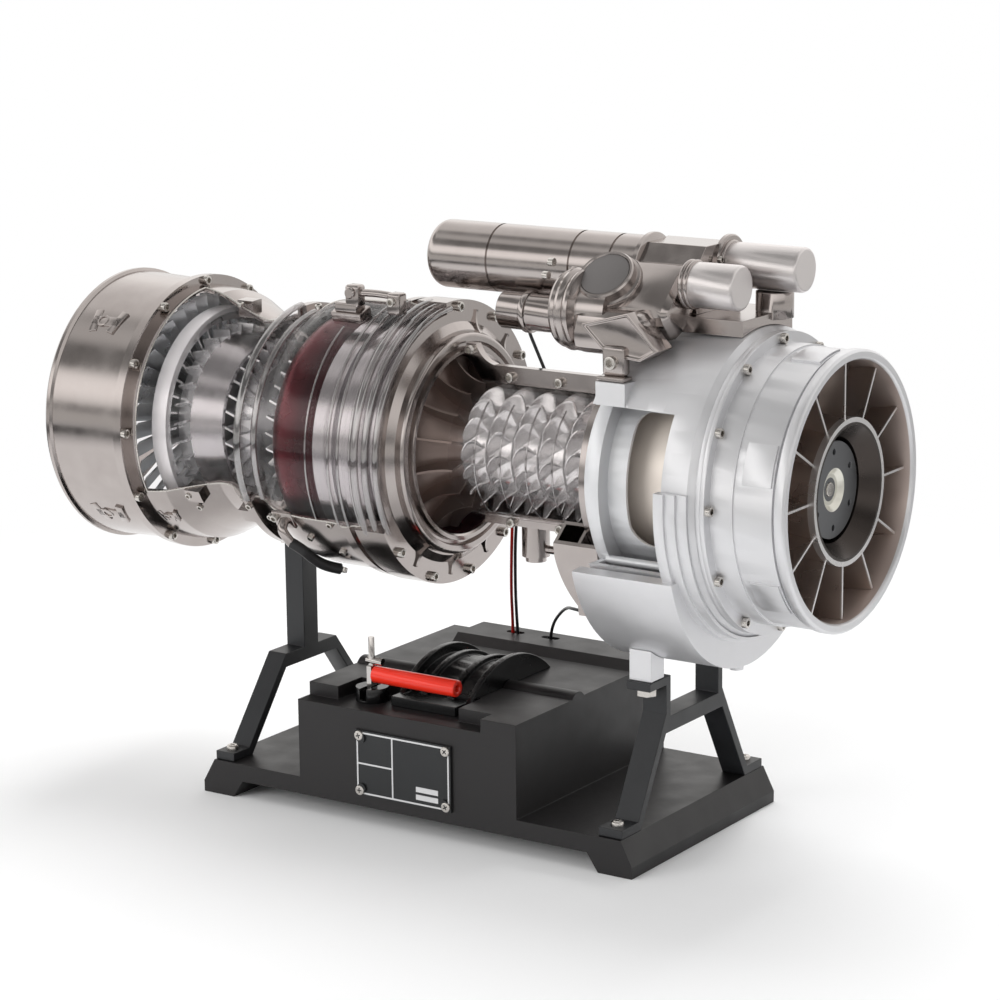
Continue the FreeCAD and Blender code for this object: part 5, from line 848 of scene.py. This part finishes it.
lead("drive_lead_red", "lead_1_red", red_pvc, [
    (-0.0084, 0.0366, 0.0397), (-0.0082, 0.0362, 0.0462), (0.0017, 0.0205, 0.062), (0.0124, 0.0052, 0.0835),
    (0.013, 0.005, 0.09088)])
lead("drive_lead_black", "lead_1_black", black_pvc, [
    (-0.0064, 0.0366, 0.0397), (-0.0066, 0.0362, 0.0462), (0.0033, 0.0205, 0.062), (0.0136, 0.0052, 0.0835),
    (0.0146, 0.005, 0.09088)])
lead("scroll_lead", "lead_2", black_pvc, [
    (0.0058, 0.0366, 0.0397), (0.0061, 0.036, 0.0462), (0.021, 0.0215, 0.058), (0.034, 0.0068, 0.0623),
    (0.052, 0.006, 0.061), (0.0651, 0.0064, 0.0618)])
lead("starter_lead", "lead_3", black_pvc, [
    (0.0168, 0.006, 0.15968), (0.0174, 0.0052, 0.15), (0.0228, 0.006, 0.138), (0.0254, 0.0072, 0.13078)])

# Floor: a plain white sheet that the stand rests on. It keeps the shadow near the object and is
# evenly white further off, as seen by the camera and through the clear windows. Bright metal mirrors
# a dark ring in it, further out. Distances from the middle are in metres.
FLOOR_RADIUS = 6
SHADOW_FADE = (0.16, 0.42)
RING_FADE = (0.35, 0.45)
WHITE = (1, 1, 1, 1)
PAPER = (0.75, 0.74, 0.72, 1)


def grey(level):
    """A neutral linear colour."""
    return level, level, level, 1


def bands(tree, value, stops):
    """Colours by a value from 0 to 1; the first stop is at 0 and the last at 1."""
    ramp = add_node(tree, "ShaderNodeValToRGB", {}, {"Fac": value})
    steps = ramp.color_ramp.elements
    steps[0].color = stops[0][1]
    steps[1].color = stops[-1][1]
    for place, colour in stops[1:-1]:
        steps.new(place).color = colour
    return ramp.outputs["Color"]


choose()
bpy.ops.mesh.primitive_circle_add(vertices=64, radius=FLOOR_RADIUS, fill_type="NGON", location=(0, 0, 0))
floor = bpy.context.object
floor.name = "white_floor"
white_sheet = start_finish("white_paper_sheet", "#f4f4f4", 0.9, ior=1.45)
tree = white_sheet.node_tree
coordinates = add_node(tree, "ShaderNodeTexCoord").outputs["Object"]
reach = add_node(tree, "ShaderNodeVectorMath", {"operation": "LENGTH"}, {0: coordinates}).outputs["Value"]
paths = add_node(tree, "ShaderNodeLightPath").outputs
seen = reckon(tree, "MAXIMUM", paths["Is Camera Ray"], paths["Is Transmission Ray"])
far_and_seen = reckon(tree, "MULTIPLY", remap(tree, reach, SHADOW_FADE, interpolation="SMOOTHSTEP"), seen)
glow = add_node(tree, "ShaderNodeEmission", {"Color": WHITE, "Strength": 1.0})
plain = mix_shaders(tree, far_and_seen, tree.nodes["Principled BSDF"].outputs[0], glow.outputs[0])
ring = bands(tree, reach, ((0, PAPER), (0.46, grey(0.62)), (0.5, grey(0.16)), (0.66, grey(0.16)),
                           (0.72, grey(0.75)), (1, PAPER)))
banded = add_node(tree, "ShaderNodeEmission", {}, {"Color": ring})
mirrored_past = reckon(tree, "MULTIPLY", remap(tree, reach, RING_FADE), paths["Is Glossy Ray"])
tree.links.new(mix_shaders(tree, mirrored_past, plain, banded.outputs[0]),
               tree.nodes["Material Output"].inputs["Surface"])
floor.data.materials.append(white_sheet)

# Studio: a white room with dark bands on the camera's side, so that bright metal shows dark and light
# stripes, and a dark screen at the right. The camera itself sees plain white.
CAMERA_SIDE = Vector((0.0, -1.0, 0.0))
SIDE_FADE = (-0.1, 0.12)
SCREEN_FADE = (0, 0.9)
WARMTH = Vector((1, 0.985, 0.965))
world = bpy.data.worlds.new("white_studio")
bpy.context.scene.world = world
world.use_nodes = True
tree = world.node_tree
for node in list(tree.nodes):
    tree.nodes.remove(node)
direction = add_node(tree, "ShaderNodeTexCoord").outputs["Generated"]
sides = add_node(tree, "ShaderNodeSeparateXYZ", {}, {0: direction}).outputs
level = remap(tree, sides["Z"], (-1, 1))


def room_side(steps):
    """Warm greys of one side of the room by height, from straight down (0) to straight up (1)."""
    return bands(tree, level, [(place, (*(WARMTH * strength), 1)) for place, strength in steps])


def dimmed_right(full, dim):
    """A strength that falls from the left to the right of the room, where a dark screen stands."""
    return remap(tree, sides["X"], SCREEN_FADE, (full, dim))


camera_side = room_side([(0.0, 0.5), (0.47, 0.8), (0.5, 0.35), (0.53, 0.35), (0.56, 1.0), (0.62, 1.3), (0.7, 1.2),
                         (0.75, 0.25), (0.83, 0.2), (0.86, 0.6), (0.89, 0.6), (0.92, 0.2), (1.0, 0.25)])
far_side = room_side([(0.0, 0.6), (0.5, 0.8), (0.72, 1.15), (0.85, 0.85), (0.96, 0.7), (1.0, 0.35)])
toward = add_node(tree, "ShaderNodeVectorMath", {"operation": "DOT_PRODUCT", 1: CAMERA_SIDE}, {0: direction})
near_share = remap(tree, toward.outputs["Value"], SIDE_FADE, interpolation="SMOOTHSTEP")
room = blend(tree, near_share, far_side, camera_side)
mirrored = add_node(tree, "ShaderNodeBackground", {}, {"Color": room, "Strength": dimmed_right(1.25, 0.85)})
even = add_node(tree, "ShaderNodeBackground", {"Color": WHITE}, {"Strength": dimmed_right(0.88, 0.35)})
white = add_node(tree, "ShaderNodeBackground", {"Color": WHITE, "Strength": 1.0})
paths = add_node(tree, "ShaderNodeLightPath").outputs
lit = mix_shaders(tree, paths["Is Glossy Ray"], even.outputs[0], mirrored.outputs[0])
seen = reckon(tree, "MAXIMUM", paths["Is Camera Ray"], paths["Is Transmission Ray"])
add_node(tree, "ShaderNodeOutputWorld", {}, {"Surface": mix_shaders(tree, seen, lit, white.outputs[0])})

# Lamps: two large soft boxes, a low one at the near left and one above and behind the model.
AIM = Vector((0, 0, 0.1))
for name, place, size, watts in (("soft_box_left", (-0.55, -1.15, 0.4), 0.8, 9.0),
                                 ("soft_box_back", (-0.1, 0.6, 1.15), 0.7, 8.0)):
    lamp = bpy.data.lights.new(name, "AREA")
    lamp.shape = "SQUARE"
    lamp.size = size
    lamp.energy = watts
    soft_box = bpy.data.objects.new(name, lamp)
    soft_box.visible_glossy = False
    bpy.context.scene.collection.objects.link(soft_box)
    soft_box.location = place
    soft_box.rotation_euler = (AIM - Vector(place)).to_track_quat("-Z", "Y").to_euler()

# Camera: the photograph's view, a long lens from the front right at a low height.
CAMERA_PLACE = Vector((0.53125, -0.77491, 0.30658))
CAMERA_TARGET = Vector((0.01971, 0.0, 0.0888))
CAMERA_ROLL = -0.51
camera = bpy.data.objects.new("photo_camera", bpy.data.cameras.new("photo_camera"))
bpy.context.scene.collection.objects.link(camera)
camera.data.lens = 113.93
camera.data.sensor_width = 36
camera.data.shift_x = -0.02245
camera.data.shift_y = 0.02275
camera.data.clip_start = 0.01
facing = (CAMERA_TARGET - CAMERA_PLACE).to_track_quat("-Z", "Y").to_matrix()
camera.rotation_euler = (facing @ Matrix.Rotation(math.radians(CAMERA_ROLL), 3, "Z")).to_euler()
camera.location = CAMERA_PLACE
bpy.context.scene.camera = camera
bpy.context.scene.view_settings.view_transform = "Standard"
